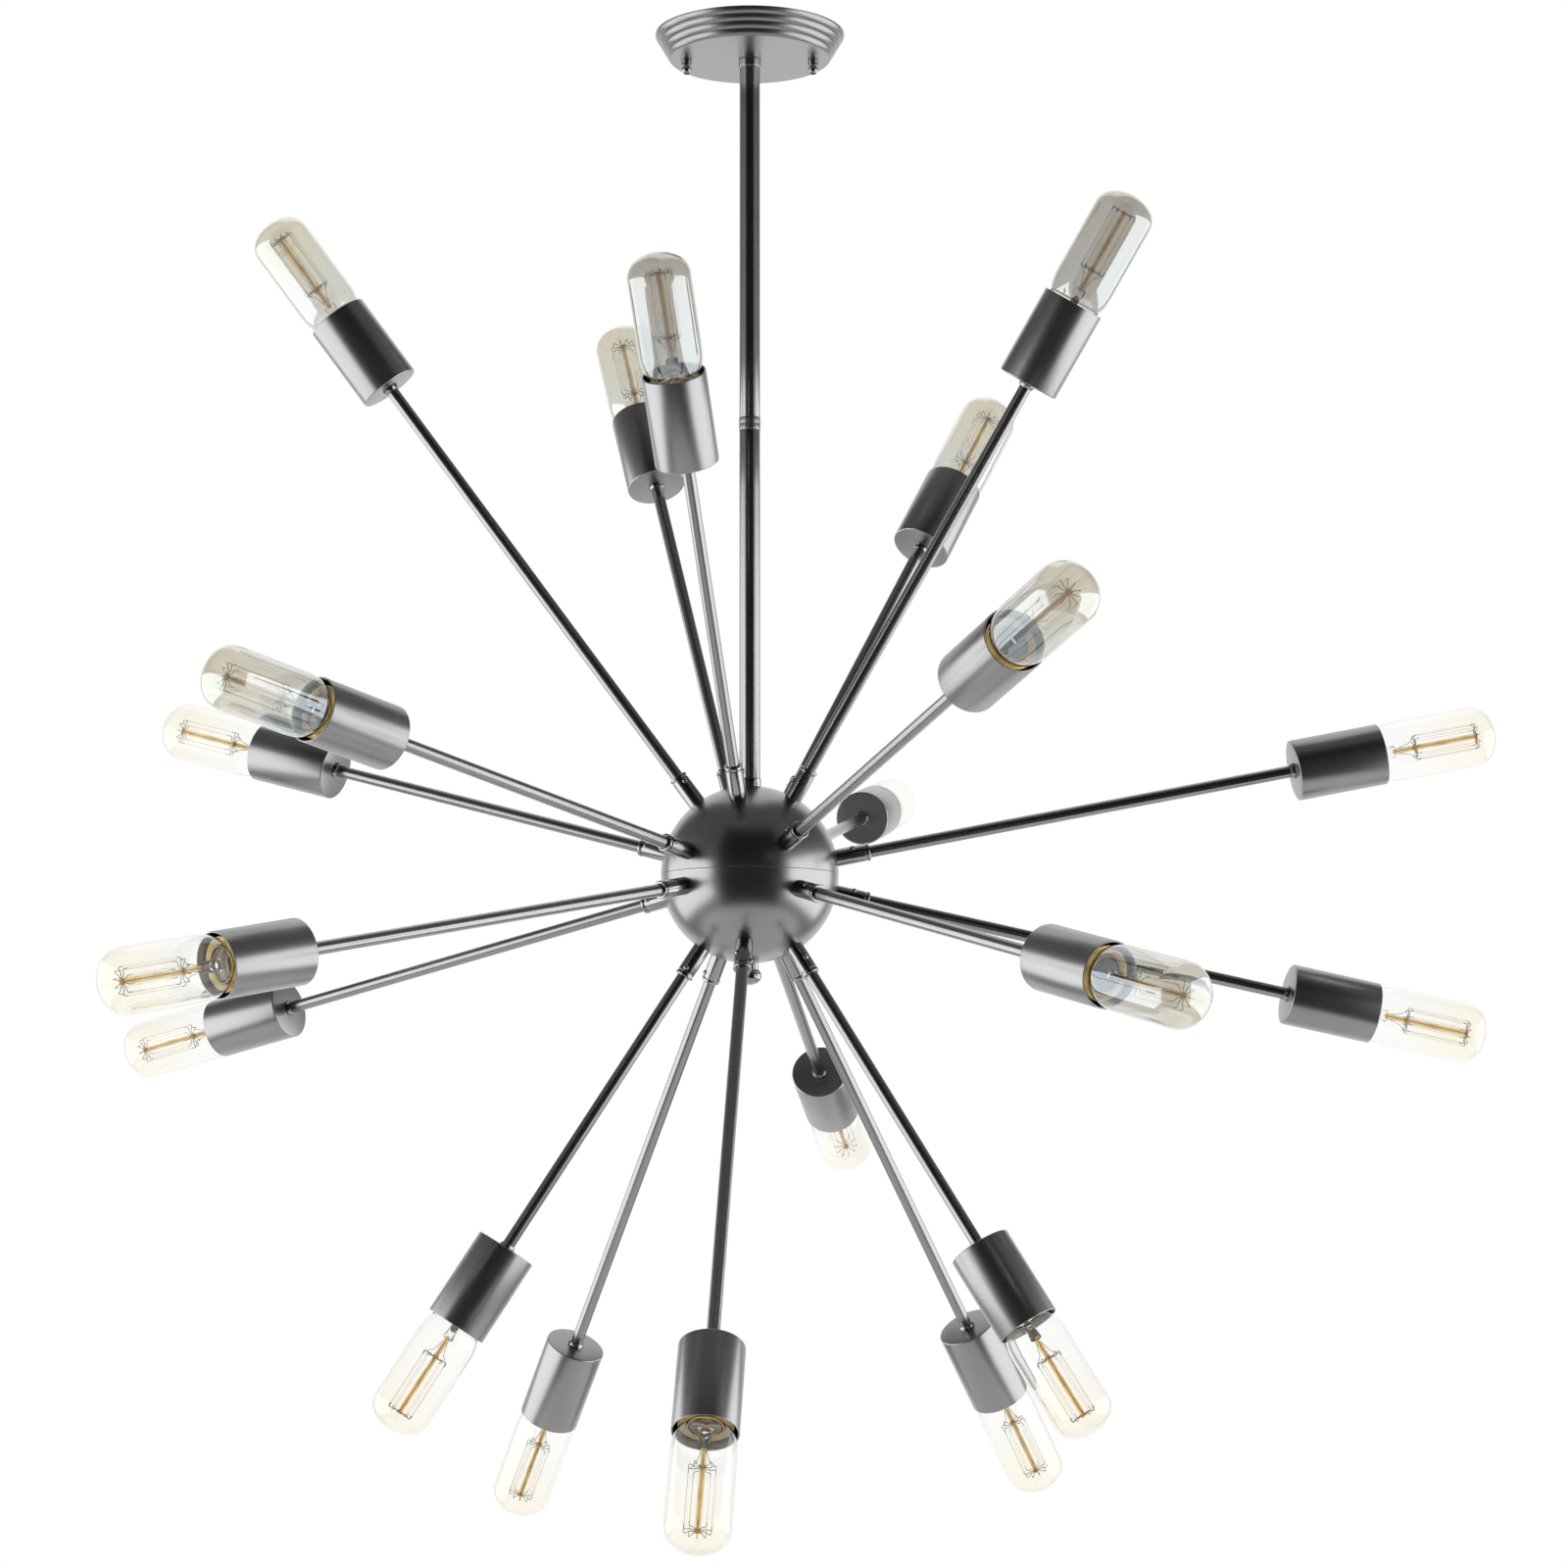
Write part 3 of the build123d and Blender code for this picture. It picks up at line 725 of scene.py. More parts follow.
def joined(name: str, parts: Iterable[bpy.types.Mesh]) -> bpy.types.Mesh:
    """Puts several meshes and their materials into one.

    Args:
        name: The new mesh's name.
        parts: The meshes, which are used up.

    Returns:
        The joined mesh.
    """
    parts = list(parts)
    objects = [bpy.data.objects.new(f"{name}_{k}", mesh) for k, mesh in enumerate(parts)]
    for item in objects:
        bpy.context.scene.collection.objects.link(item)
    with bpy.context.temp_override(
        active_object=objects[0], object=objects[0],
        selected_objects=objects, selected_editable_objects=objects,
    ):
        bpy.ops.object.join()
    mesh = objects[0].data
    bpy.data.objects.remove(objects[0])
    mesh.name = name
    return mesh


def painted(mesh: bpy.types.Mesh, *materials: bpy.types.Material) -> bpy.types.Mesh:
    """Gives a mesh its materials, in slot order."""
    mesh.materials.clear()
    for material in materials:
        mesh.materials.append(material)
    return mesh


def stand(
    name: str, mesh: bpy.types.Mesh, replaces: Sequence[str],
    body: str = Body.FIXTURE.value,
) -> None:
    """Makes a finished piece: at the origin, on its body, in place of its CAD nodes.

    Args:
        name: The piece's name.
        mesh: Its mesh, already in place.
        replaces: The CAD nodes that it stands for.
        body: The CAD body that it rides on.
    """
    mesh.name = name
    piece = bpy.data.objects.new(name, mesh)
    bpy.context.scene.collection.objects.link(piece)
    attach(piece, body)
    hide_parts(*replaces)
    LOG.info("%s: %d faces on %s", name, len(mesh.polygons), body)


def dress(frame: Mapping[str, Any], material: bpy.types.Material, *nodes: str) -> None:
    """Gives carried-over CAD nodes their material.

    Args:
        material: The finish.
        nodes: The nodes' names.
    """
    for name in nodes:
        node = frame["nodes"][name]
        for holder in node.material_slots:
            holder.material = material
        LOG.info("%s: kept from the CAD model, in %s", name, material.name)


# -------------------------------------------------------------------------------- arms
@dataclass(frozen=True)
class Arm:
    """One arm: its direction from the hub's centre, and its length from hub to cup."""

    number: int
    azimuth: float
    elevation: float
    reach: float

    @property
    def along(self) -> Vector:
        """The outward direction."""
        level, rise = math.radians(self.azimuth), math.radians(self.elevation)
        return Vector(
            (math.cos(rise) * math.cos(level), math.cos(rise) * math.sin(level), math.sin(rise))
        )

    @property
    def across(self) -> Vector:
        """The level direction square to the arm."""
        level = math.radians(self.azimuth)
        return Vector((-math.sin(level), math.cos(level), 0.0))

    def matrix(self, distance: float, roll: float = 0.0) -> Matrix:
        """The place of something on the arm.

        Args:
            distance: From the hub's centre, in mm.
            roll: A turn about the arm, in radians.

        Returns:
            The matrix from the piece's own frame to the row frame.
        """
        side = self.along.cross(self.across)
        turn = Matrix((self.across, side, self.along)).transposed().to_4x4()
        spot = Vector((0.0, 0.0, HUB_Z * MM)) + self.along * distance * MM
        return Matrix.Translation(spot) @ turn @ Matrix.Rotation(roll, 4, "Z")


HUB_Z = -661.0
HUB_R = 68.0
ROD = 4.75  # an arm tube's radius
CUP_LENGTH = 69.0
SHORT, MEDIUM, LONG, EXTRA_LONG = 270.0, 300.0, 360.0, 400.0
ARMS: tuple[Arm, ...] = tuple(
    Arm(number, *row)
    for number, row in enumerate(
        (
            (182.5, 53.5, EXTRA_LONG), (255.5, 57.5, SHORT), (117.5, 63.5, MEDIUM),
            (333.0, 57.0, LONG), (44.5, 55.0, SHORT),
            (295.0, 16.5, MEDIUM), (225.5, 11.5, MEDIUM), (159.0, 15.0, MEDIUM),
            (2.0, 11.0, LONG), (77.5, 11.0, EXTRA_LONG),
            (222.5, -10.5, LONG), (153.5, -12.5, LONG), (304.5, -13.0, MEDIUM),
            (6.0, -12.0, LONG), (79.0, -24.5, SHORT),
            (186.5, -57.0, SHORT), (128.0, -58.0, LONG), (264.0, -54.5, LONG),
            (335.0, -56.5, SHORT), (45.5, -54.5, LONG),
        ),
        1,
    )
)
TIERS = ("upper", "upper_mid", "lower_mid", "lower")
ANY_TURN = 3.1  # a repeated piece may stand at nearly any turn about its arm, in radians


def in_tiers(kind: str) -> list[str]:
    """The CAD nodes of one kind of piece, tier by tier."""
    return [f"{kind}_{tier}" for tier in TIERS]


# ---------------------------------------------------------------------- geometry trees
class GeometryGraph(Graph):
    """A Geometry Nodes tree with named inputs, run once and turned into a plain mesh."""

    def __init__(self, name: str, inputs: Mapping[str, tuple[str, Any]]) -> None:
        """Starts a tree.

        Args:
            name: The tree's name.
            inputs: For each named input its socket type and its value.
        """
        super().__init__(bpy.data.node_groups.new(name, "GeometryNodeTree"))
        self.tree.is_modifier = True
        face = self.tree.interface
        face.new_socket("Geometry", in_out="INPUT", socket_type="NodeSocketGeometry")
        face.new_socket("Geometry", in_out="OUTPUT", socket_type="NodeSocketGeometry")
        self.values: dict[str, Any] = {}
        for label, (kind, value) in inputs.items():
            socket = face.new_socket(label, in_out="INPUT", socket_type=kind)
            self.values[socket.identifier] = value
        self.entry = self.make("NodeGroupInput")
        self.exit = self.make("NodeGroupOutput")

    def take(self, label: str = "Geometry") -> Wire:
        """One of the tree's inputs."""
        return self.wire(self.entry, label)

    def named(self, name: str) -> Wire:
        """A named vector of the incoming geometry."""
        inlet = "GeometryNodeInputNamedAttribute"
        return self.get(inlet, {"data_type": "FLOAT_VECTOR"}, {"Name": name}, "Attribute")

    def store(self, geometry: Wire, name: str, value: Wire) -> Wire:
        """Stores a vector on the geometry's points.

        Args:
            geometry: The geometry.
            name: The attribute's name.
            value: What is stored.

        Returns:
            The geometry that carries it.
        """
        return self.get(
            "GeometryNodeStoreNamedAttribute",
            {"data_type": "FLOAT_VECTOR", "domain": "POINT"},
            {"Geometry": geometry, "Name": name, "Value": value},
        )

    def swept(self, radius: Wire) -> Wire:
        """Sweeps a round bar along the edges that come in; "Sides" cuts its circle.

        Args:
            radius: The bar's radius, in metres.

        Returns:
            The bar, closed at its ends.
        """
        path = self.get("GeometryNodeMeshToCurve", {}, {"Mesh": self.take()})
        circle = {"Resolution": self.take("Sides"), "Radius": radius}
        ring = self.get("GeometryNodeCurvePrimitiveCircle", {"mode": "RADIUS"}, circle, "Curve")
        sockets = {"Curve": path, "Profile Curve": ring, "Fill Caps": True}
        return self.get("GeometryNodeCurveToMesh", {}, sockets)

    def finish(self, geometry: Wire, material: Wire) -> None:
        """Ends the tree in Realize Instances and Set Material."""
        real = self.get("GeometryNodeRealizeInstances", {}, {"Geometry": geometry})
        sockets = {"Geometry": real, "Material": material}
        self.link(self.get("GeometryNodeSetMaterial", {}, sockets), self.exit, "Geometry")

    def run(self, name: str, host: bpy.types.Mesh) -> bpy.types.Mesh:
        """Runs the tree on a mesh.

        Args:
            name: The result's name.
            host: The mesh that the tree starts from.

        Returns:
            A plain mesh with every attribute kept.
        """
        carrier = bpy.data.objects.new(f"{name}_host", host)
        bpy.context.scene.collection.objects.link(carrier)
        modifier = carrier.modifiers.new("tree", "NODES")
        modifier.node_group = self.tree
        for identifier, value in self.values.items():
            modifier[identifier] = value
        bpy.context.view_layer.update()
        depsgraph = bpy.context.evaluated_depsgraph_get()
        mesh = bpy.data.meshes.new_from_object(
            carrier.evaluated_get(depsgraph), preserve_all_data_layers=True, depsgraph=depsgraph
        )
        carrier.modifiers.remove(modifier)
        bpy.data.objects.remove(carrier)
        mesh.name = name
        return mesh


def arm_points(ends: Sequence[Callable[[Arm], float]]) -> bpy.types.Mesh:
    """One vertex per arm, or one edge where two distances are given.

    Args:
        ends: One or two functions from an arm to a distance from the hub's centre, in mm.

    Returns:
        A mesh whose points carry their arm's direction.
    """
    verts, edges, along, across, tone = [], [], [], [], []
    dice = random.Random(20)
    for arm in ARMS:
        shade = dice.random()
        for distance in ends:
            verts.append(arm.matrix(distance(arm)).translation)
            along.extend(arm.along)
            across.extend(arm.across)
            tone.append(shade)
        if len(ends) == 2:
            edges.append((len(verts) - 2, len(verts) - 1))
    mesh = bpy.data.meshes.new("arm_points")
    mesh.from_pydata(verts, edges, [])
    for name, kind, field_name, data in (
        ("along", "FLOAT_VECTOR", "vector", along),
        ("across", "FLOAT_VECTOR", "vector", across),
        (TONE, "FLOAT", "value", tone),
    ):
        mesh.attributes.new(name, kind, "POINT").data.foreach_set(field_name, data)
    return mesh


def on_every_arm(
    name: str, piece: bpy.types.Mesh, distance: Callable[[Arm], float],
    finish: bpy.types.Material, nodes: Sequence[str],
    roll: float = 0.0, seed: int = 1,
) -> None:
    """Repeats a piece on all the arms with a tree of nodes, and stands the result.

    Args:
        name: The result's name.
        piece: The piece in its own frame, Z outwards.
        distance: From an arm to the piece's distance from the hub's centre, in mm.
        finish: The piece's material.
        nodes: The CAD nodes that the pieces stand for.
        roll: The most that a piece turns about its arm either way, in radians.
        seed: The fixed seed of those turns.
    """
    model = bpy.data.objects.new(f"{name}_model", piece)
    bpy.context.scene.collection.objects.link(model)
    graph = GeometryGraph(
        f"{name}_on_arms",
        {
            "Piece": ("NodeSocketObject", model),
            "Roll": ("NodeSocketFloat", roll),
            "Seed": ("NodeSocketInt", seed),
            "Finish": ("NodeSocketMaterial", finish),
        },
    )
    aim = graph.get(
        "FunctionNodeAxesToRotation",
        {"primary_axis": "Z", "secondary_axis": "X"},
        {"Primary Axis": graph.named("along"), "Secondary Axis": graph.named("across")},
    )
    dice = {"Min": -1.0, "Max": 1.0, "Seed": graph.take("Seed")}
    chance = graph.get("FunctionNodeRandomValue", {"data_type": "FLOAT"}, dice, "Value")
    turn = graph.get("ShaderNodeCombineXYZ", {}, {"Z": chance * graph.take("Roll")})
    spun = graph.get(
        "FunctionNodeRotateRotation",
        {"rotation_space": "LOCAL"},
        {"Rotation": aim, "Rotate By": turn},
    )
    source = graph.get(
        "GeometryNodeObjectInfo", {}, {"Object": graph.take("Piece")}, "Geometry"
    )
    sockets = {"Points": graph.take(), "Instance": source, "Rotation": spun}
    copies = graph.get("GeometryNodeInstanceOnPoints", {}, sockets)
    graph.finish(copies, graph.take("Finish"))
    mesh = graph.run(name, arm_points([distance]))
    bpy.data.objects.remove(model)
    stand(name, mesh, nodes)


def swept_on_arms(
    name: str, radius: float, sides: int, start: float, end: Callable[[Arm], float],
    finish: bpy.types.Material,
) -> bpy.types.Mesh:
    """Sweeps a round bar along every arm with a tree of nodes.

    Args:
        name: The result's name.
        radius: The bar's radius, in mm.
        sides: How many sides its circle has.
        start: Its inner end's distance from the hub's centre, in mm.
        end: From an arm to its outer end's distance.
        finish: Its material.

    Returns:
        One mesh with all the bars.
    """
    graph = GeometryGraph(
        f"{name}_sweep",
        {
            "Radius": ("NodeSocketFloat", radius * MM),
            "Sides": ("NodeSocketInt", sides),
            "Hub Centre": ("NodeSocketVector", (0.0, 0.0, HUB_Z * MM)),
            "Finish": ("NodeSocketMaterial", finish),
        },
    )
    bar = graph.swept(graph.take("Radius"))
    here = graph.get("GeometryNodeInputPosition")
    spot = graph.vector("SUBTRACT", here, graph.take("Hub Centre"))
    along, across = graph.named("along"), graph.named("across")
    axes = {"X": across, "Y": graph.vector("CROSS_PRODUCT", along, across), "Z": along}
    shares = {name: graph.vector("DOT_PRODUCT", spot, axis) for name, axis in axes.items()}
    marked = graph.store(bar, PLACE, graph.get("ShaderNodeCombineXYZ", {}, shares))
    graph.finish(marked, graph.take("Finish"))
    return soften(graph.run(name, arm_points([lambda arm: start, end])))


def ring_of_wires(
    name: str, path: Sequence[tuple[float, float, float]], count: int, radius: float,
    sides: int, finish: bpy.types.Material,
) -> bpy.types.Mesh:
    """Sweeps a wire along a path and repeats it round Z with a tree of nodes.

    Args:
        name: The result's name.
        path: The wire's points in its own frame, in mm.
        count: How many wires stand round the axis.
        radius: The wire's radius, in mm.
        sides: How many sides its circle has.
        finish: Its material.

    Returns:
        One mesh with all the wires.
    """
    graph = GeometryGraph(
        f"{name}_ring",
        {
            "Count": ("NodeSocketInt", count),
            "Wire Radius": ("NodeSocketFloat", radius * MM),
            "Sides": ("NodeSocketInt", sides),
            "Finish": ("NodeSocketMaterial", finish),
        },
    )
    wire = graph.swept(graph.take("Wire Radius"))
    spots = graph.get("GeometryNodePoints", {}, {"Count": graph.take("Count")})
    step = graph.get("GeometryNodeInputIndex") * math.tau / graph.take("Count")
    turn = graph.get("ShaderNodeCombineXYZ", {}, {"Z": step})
    sockets = {"Points": spots, "Instance": wire, "Rotation": turn}
    graph.finish(graph.get("GeometryNodeInstanceOnPoints", {}, sockets), graph.take("Finish"))
    host = bpy.data.meshes.new(f"{name}_path")
    host.from_pydata(
        [tuple(c * MM for c in point) for point in path],
        [(k, k + 1) for k in range(len(path) - 1)],
        [],
    )
    return soften(mark_place(graph.run(name, host)))


# ----------------------------------------------------------------------- sub-assemblies
@dataclass
class Canopy:
    """The ribbed ceiling pan, its two ball nuts and the fixings inside."""

    finishes: Finishes
    rim: float = 74.0
    disc: float = 62.0
    height: float = 20.0
    ribs: int = 4
    bulge: float = 0.8
    sheet: float = 1.2
    bore: float = 5.1
    segments: int = 160
    nut_spacing: float = 99.0
    nut_collar: tuple[float, float] = (4.1, 5.0)
    nut_ball: float = 3.9
    nut_sink: float = 0.72  # how deep the ball stands in its collar, in ball radii
    turn_gap: float = 0.1
    stud: float = 2.05
    disc_edge: tuple[float, float] = (0.4, 1.2)  # the underside's rounded edge, which gets a painted highlight
    disc_ring: float = 20.0  # a ring that halves the underside's long faces

    def pan_profile(self) -> list[Station]:
        """The pan's section: ribs outside, a flat underside and a plain inner wall.

        Returns:
            The closed profile.
        """
        step_in = (self.rim - self.disc) / self.ribs
        step_down = self.height / self.ribs
        chord = math.hypot(step_in, step_down)
        radius = (self.bulge**2 + (chord / 2) ** 2) / (2 * self.bulge)
        lean = math.degrees(math.atan2(-step_in, step_down))
        spread = math.degrees(math.asin(chord / 2 / radius))
        made: list[Station] = []
        for rib in range(self.ribs):
            middle = (self.rim - (rib + 0.5) * step_in, -(rib + 0.5) * step_down)
            back = radius - self.bulge
            out = math.radians(lean)
            centre = (middle[0] - back * math.cos(out), middle[1] - back * math.sin(out))
            made += arc(centre, radius, lean + spread, lean - spread, 9)
        floor = -self.height
        made += [
            # the edge mark here gives the underside's rim a painted highlight
            (self.disc - self.disc_edge[0], floor, 0.6),
            (self.disc - self.disc_edge[1], floor, 0.0),
            (self.disc_ring, floor, 0.0),
            (self.bore, floor, 0.0),
            (self.bore, floor + self.sheet, 0.0),
            (self.disc - self.sheet, floor + self.sheet, 0.0),
            (self.rim - self.sheet, 0.0, 0.0),
        ]
        return made

    def pan(self) -> None:
        """Spins the pan and gives its cone and its underside their finishes; the cone's darker
        tint is painted shade.
        """
        mesh = turned("canopy_pan", self.pan_profile(), self.segments)
        painted(mesh, self.finishes.ribbed, self.finishes.underside)
        low = (-self.height + 0.05) * MM
        for face in mesh.polygons:
            face.material_index = int(face.center.z < low)
        stand("canopy_pan", mesh, ["canopy"])

    def ball_nut(self, side: int, body: Body, node: str) -> None:
        """Makes one ball nut on its stud.

        Args:
            side: -1 for the left one, 1 for the right one.
            body: The CAD body that it turns with.
            node: The CAD node that it stands for.
        """
        radius, length = self.nut_collar
        top = -self.height - self.turn_gap
        neck = top - length
        centre = neck - self.nut_ball * self.nut_sink
        waist = math.degrees(math.asin((neck - centre) / self.nut_ball))
        mouth = math.degrees(-math.acos(self.stud / self.nut_ball))
        stations = rounded(
            [
                Corner(self.stud, top), Corner(radius, top, 0.35), Corner(radius, neck, 0.4),
                Corner(self.nut_ball * math.cos(math.radians(waist)), neck),
            ],
            closed=False,
        )
        stations += arc((0.0, centre), self.nut_ball, waist - 4, mouth, 14)
        mesh = turned(node, stations, 40)
        mesh.transform(Matrix.Translation((side * self.nut_spacing / 2 * MM, 0.0, 0.0)))
        painted(mesh, self.finishes.polished)
        stand(f"nut_{node}", mesh, [node], body.value)

    def build(self, frame: Mapping[str, Any]) -> None:
        """Builds the canopy and dresses what is inside it."""
        self.pan()
        self.ball_nut(-1, Body.LEFT_NUT, "ball_nut_left")
        self.ball_nut(1, Body.RIGHT_NUT, "ball_nut_right")
        inside = ("mounting_bar", "canopy_studs", "top_nipple", "nipple_nuts")
        dress(frame, self.finishes.steel, *inside)


@dataclass
class Stem:
    """The drop stem: two pipes, the coupler between them and a ring at each end."""

    finishes: Finishes
    top: float = -26.5
    ceiling_ring: tuple[float, float] = (8.7, 6.5)
    pipe: float = 8.0
    wall: float = 1.5
    coupler: float = HUB_Z + 350.5
    coupler_length: float = 10.0
    coupler_bore: float = 3.4
    coupler_proud: float = 0.3
    groove: float = 0.5
    groove_depth: float = 0.8
    foot: float = HUB_Z + HUB_R + 5.8
    thread: float = 5.0
    spigot: float = 12.0
    segments: int = 72

    def spin(
        self, name: str, stations: Sequence[Station], finish: bpy.types.Material,
        node: str,
    ) -> None:
        """Turns one piece of the stem and stands it in its place.

        Args:
            name: The piece's name.
            stations: Its profile.
            finish: Its material.
            node: The CAD node that it stands for.
        """
        mesh = painted(turned(name, stations, self.segments), finish)
        stand(name, mesh, [node])

    def ring(self) -> None:
        """The ring that clamps the canopy."""
        radius, height = self.ceiling_ring
        top, low, bore = self.top + height, self.top, self.pipe - self.wall
        stations = rounded(
            [
                Corner(self.thread, top), Corner(radius, top, 0.6), Corner(radius, low, 0.6),
                Corner(bore, low), Corner(bore, low - self.spigot),
                Corner(self.thread, low - self.spigot),
            ]
        )
        self.spin("stem_ring", stations, self.finishes.polished, "stem_collar")

    def tube(self, name: str, low: float, high: float, node: str) -> None:
        """One pipe between two heights, cut into short bands so that its finish lies evenly."""
        bore = self.pipe - self.wall
        bands = 6
        corners = [Corner(bore, low), Corner(self.pipe, low, 0.25)]
        corners += [Corner(self.pipe, low + (high - low) * k / bands) for k in range(1, bands)]
        corners += [Corner(self.pipe, high, 0.25), Corner(bore, high)]
        self.spin(name, rounded(corners), self.finishes.tube, node)

    def sleeve(self) -> None:
        """The coupler, a hair proud of the pipes, with its groove."""
        half, slit = self.coupler_length / 2, self.groove / 2
        proud = self.pipe + self.coupler_proud
        deep = proud - self.groove_depth
        bore, inner = self.pipe - self.wall, self.coupler_bore
        outline = [
            (inner, -half - self.spigot, 0), (bore, -half - self.spigot, 0), (bore, -half, 0),
            (proud, -half, 0.25), (proud, -slit, 0.12), (deep, -slit, 0),
            (deep, slit, 0), (proud, slit, 0.12), (proud, half, 0.25), (bore, half, 0),
            (bore, half + self.spigot, 0), (inner, half + self.spigot, 0),
        ]
        stations = rounded([Corner(r, self.coupler + z, f) for r, z, f in outline])
        self.spin("stem_sleeve", stations, self.finishes.satin, "stem_coupler")

    def base_ring(self) -> None:
        """The foot ring, which sits on the hub."""
        radius, _ = self.ceiling_ring
        bore = self.pipe - self.wall
        seat_out = HUB_Z + math.sqrt(HUB_R**2 - radius**2)
        seat_in = HUB_Z + math.sqrt(HUB_R**2 - self.thread**2)
        stations = rounded(
            [
                Corner(self.thread, seat_in), Corner(radius, seat_out),
                Corner(radius, self.foot, 0.6), Corner(bore, self.foot),
                Corner(bore, self.foot + self.spigot),
                Corner(self.thread, self.foot + self.spigot),
            ]
        )
        self.spin("stem_base", stations, self.finishes.polished, "stem_foot")

    def build(self) -> None:
        """Builds the whole stem."""
        self.ring()
        half = self.coupler_length / 2
        self.tube("stem_pipe_upper", self.coupler + half, self.top, "stem_upper")
        self.sleeve()
        self.tube("stem_pipe_lower", self.foot, self.coupler - half, "stem_lower")
        self.base_ring()


@dataclass
class Hub:
    """The spun ball in two halves, with its finial and the rod and nuts inside."""

    finishes: Finishes
    wall: float = 2.0
    seam: float = 0.35
    lip: float = 2.5
    lip_wall: float = 1.4
    play: float = 0.1
    bore: float = 5.1
    finial: float = 9.0
    finial_neck: float = 6.6
    finial_length: float = 16.6
    finial_seat: float = 2.6  # height of its neck
    finial_bore: float = 5.05
    finial_floor: float = 5.8  # solid metal under the bore
    segments: int = 144

    def half(self, side: int, node: str) -> None:
        """One half of the ball.

        Args:
            side: 1 for the upper half, -1 for the lower one.
            node: The CAD node that it stands for.
        """
        inner = HUB_R - self.wall
        first = math.degrees(math.asin(self.seam / HUB_R))
        last = math.degrees(math.acos(self.bore / HUB_R))
        outside = arc((0.0, 0.0), HUB_R, first, last, 40)
        # the edge mark at the seam gives it a painted highlight
        outside[0] = (outside[0][0], outside[0][1], 0.6)
        inside = arc((0.0, 0.0), inner, math.degrees(math.acos(self.bore / inner)), 0.0, 24)
        stations = [(HUB_R - self.seam, 0.0, 0.0)] + outside + inside
        if side < 0:
            edge = inner - self.play
            stations[-1:] = [
                (inner, self.lip, 0.0), (inner - self.lip_wall, self.lip, 0.0),
                (inner - self.lip_wall, -self.lip, 0.0), (edge, -self.lip, 0.0), (edge, 0.0, 0.0),
            ]
        stations = [(r, HUB_Z + side * z, mark) for r, z, mark in stations]
        mesh = turned(f"hub_{node}", stations, self.segments)
        mark_place(mesh, Vector((0.0, 0.0, HUB_Z * MM)))
        name = "hub_shell_upper" if side > 0 else "hub_shell_lower"
        stand(name, painted(mesh, self.finishes.hub), [node])

    def cap_nut(self) -> None:
        """The finial: a short neck and a flattened ball."""
        low = -HUB_R - self.finial_length
        ball = (self.finial_length - self.finial_seat) / 2
        middle = low + ball
        seat = -math.sqrt((HUB_R + self.play) ** 2 - self.finial_neck**2)
        seat_in = -math.sqrt((HUB_R + self.play) ** 2 - self.finial_bore**2)
        waist = math.degrees(math.acos(self.finial_neck / self.finial))
        squash = ball / self.finial
        stations: list[Station] = [
            (self.finial_bore, seat_in, 0.0), (self.finial_neck, seat, 0.0)
        ]
        stations += [
            (r, middle + z * squash, 0.0)
            for r, z, _ in arc((0.0, 0.0), self.finial, waist, -90.0, 22)
        ]
        floor = low + self.finial_floor
        stations += [(0.0, floor, 0.0), (self.finial_bore, floor, 0.0)]
        stations = [(r, HUB_Z + z, mark) for r, z, mark in stations]
        mesh = turned("finial_cap", stations, 56)
        mark_place(mesh, Vector((0.0, 0.0, HUB_Z * MM)))
        painted(mesh, self.finishes.polished)
        stand("finial_cap", mesh, ["hub_finial"], Body.FINIAL.value)

    def build(self, frame: Mapping[str, Any]) -> None:
        """Builds the hub and dresses what is inside it."""
        self.half(1, "hub_upper")
        self.half(-1, "hub_lower")
        self.cap_nut()
        dress(frame, self.finishes.steel, "hub_rod", "hub_nut", "collar_nuts")


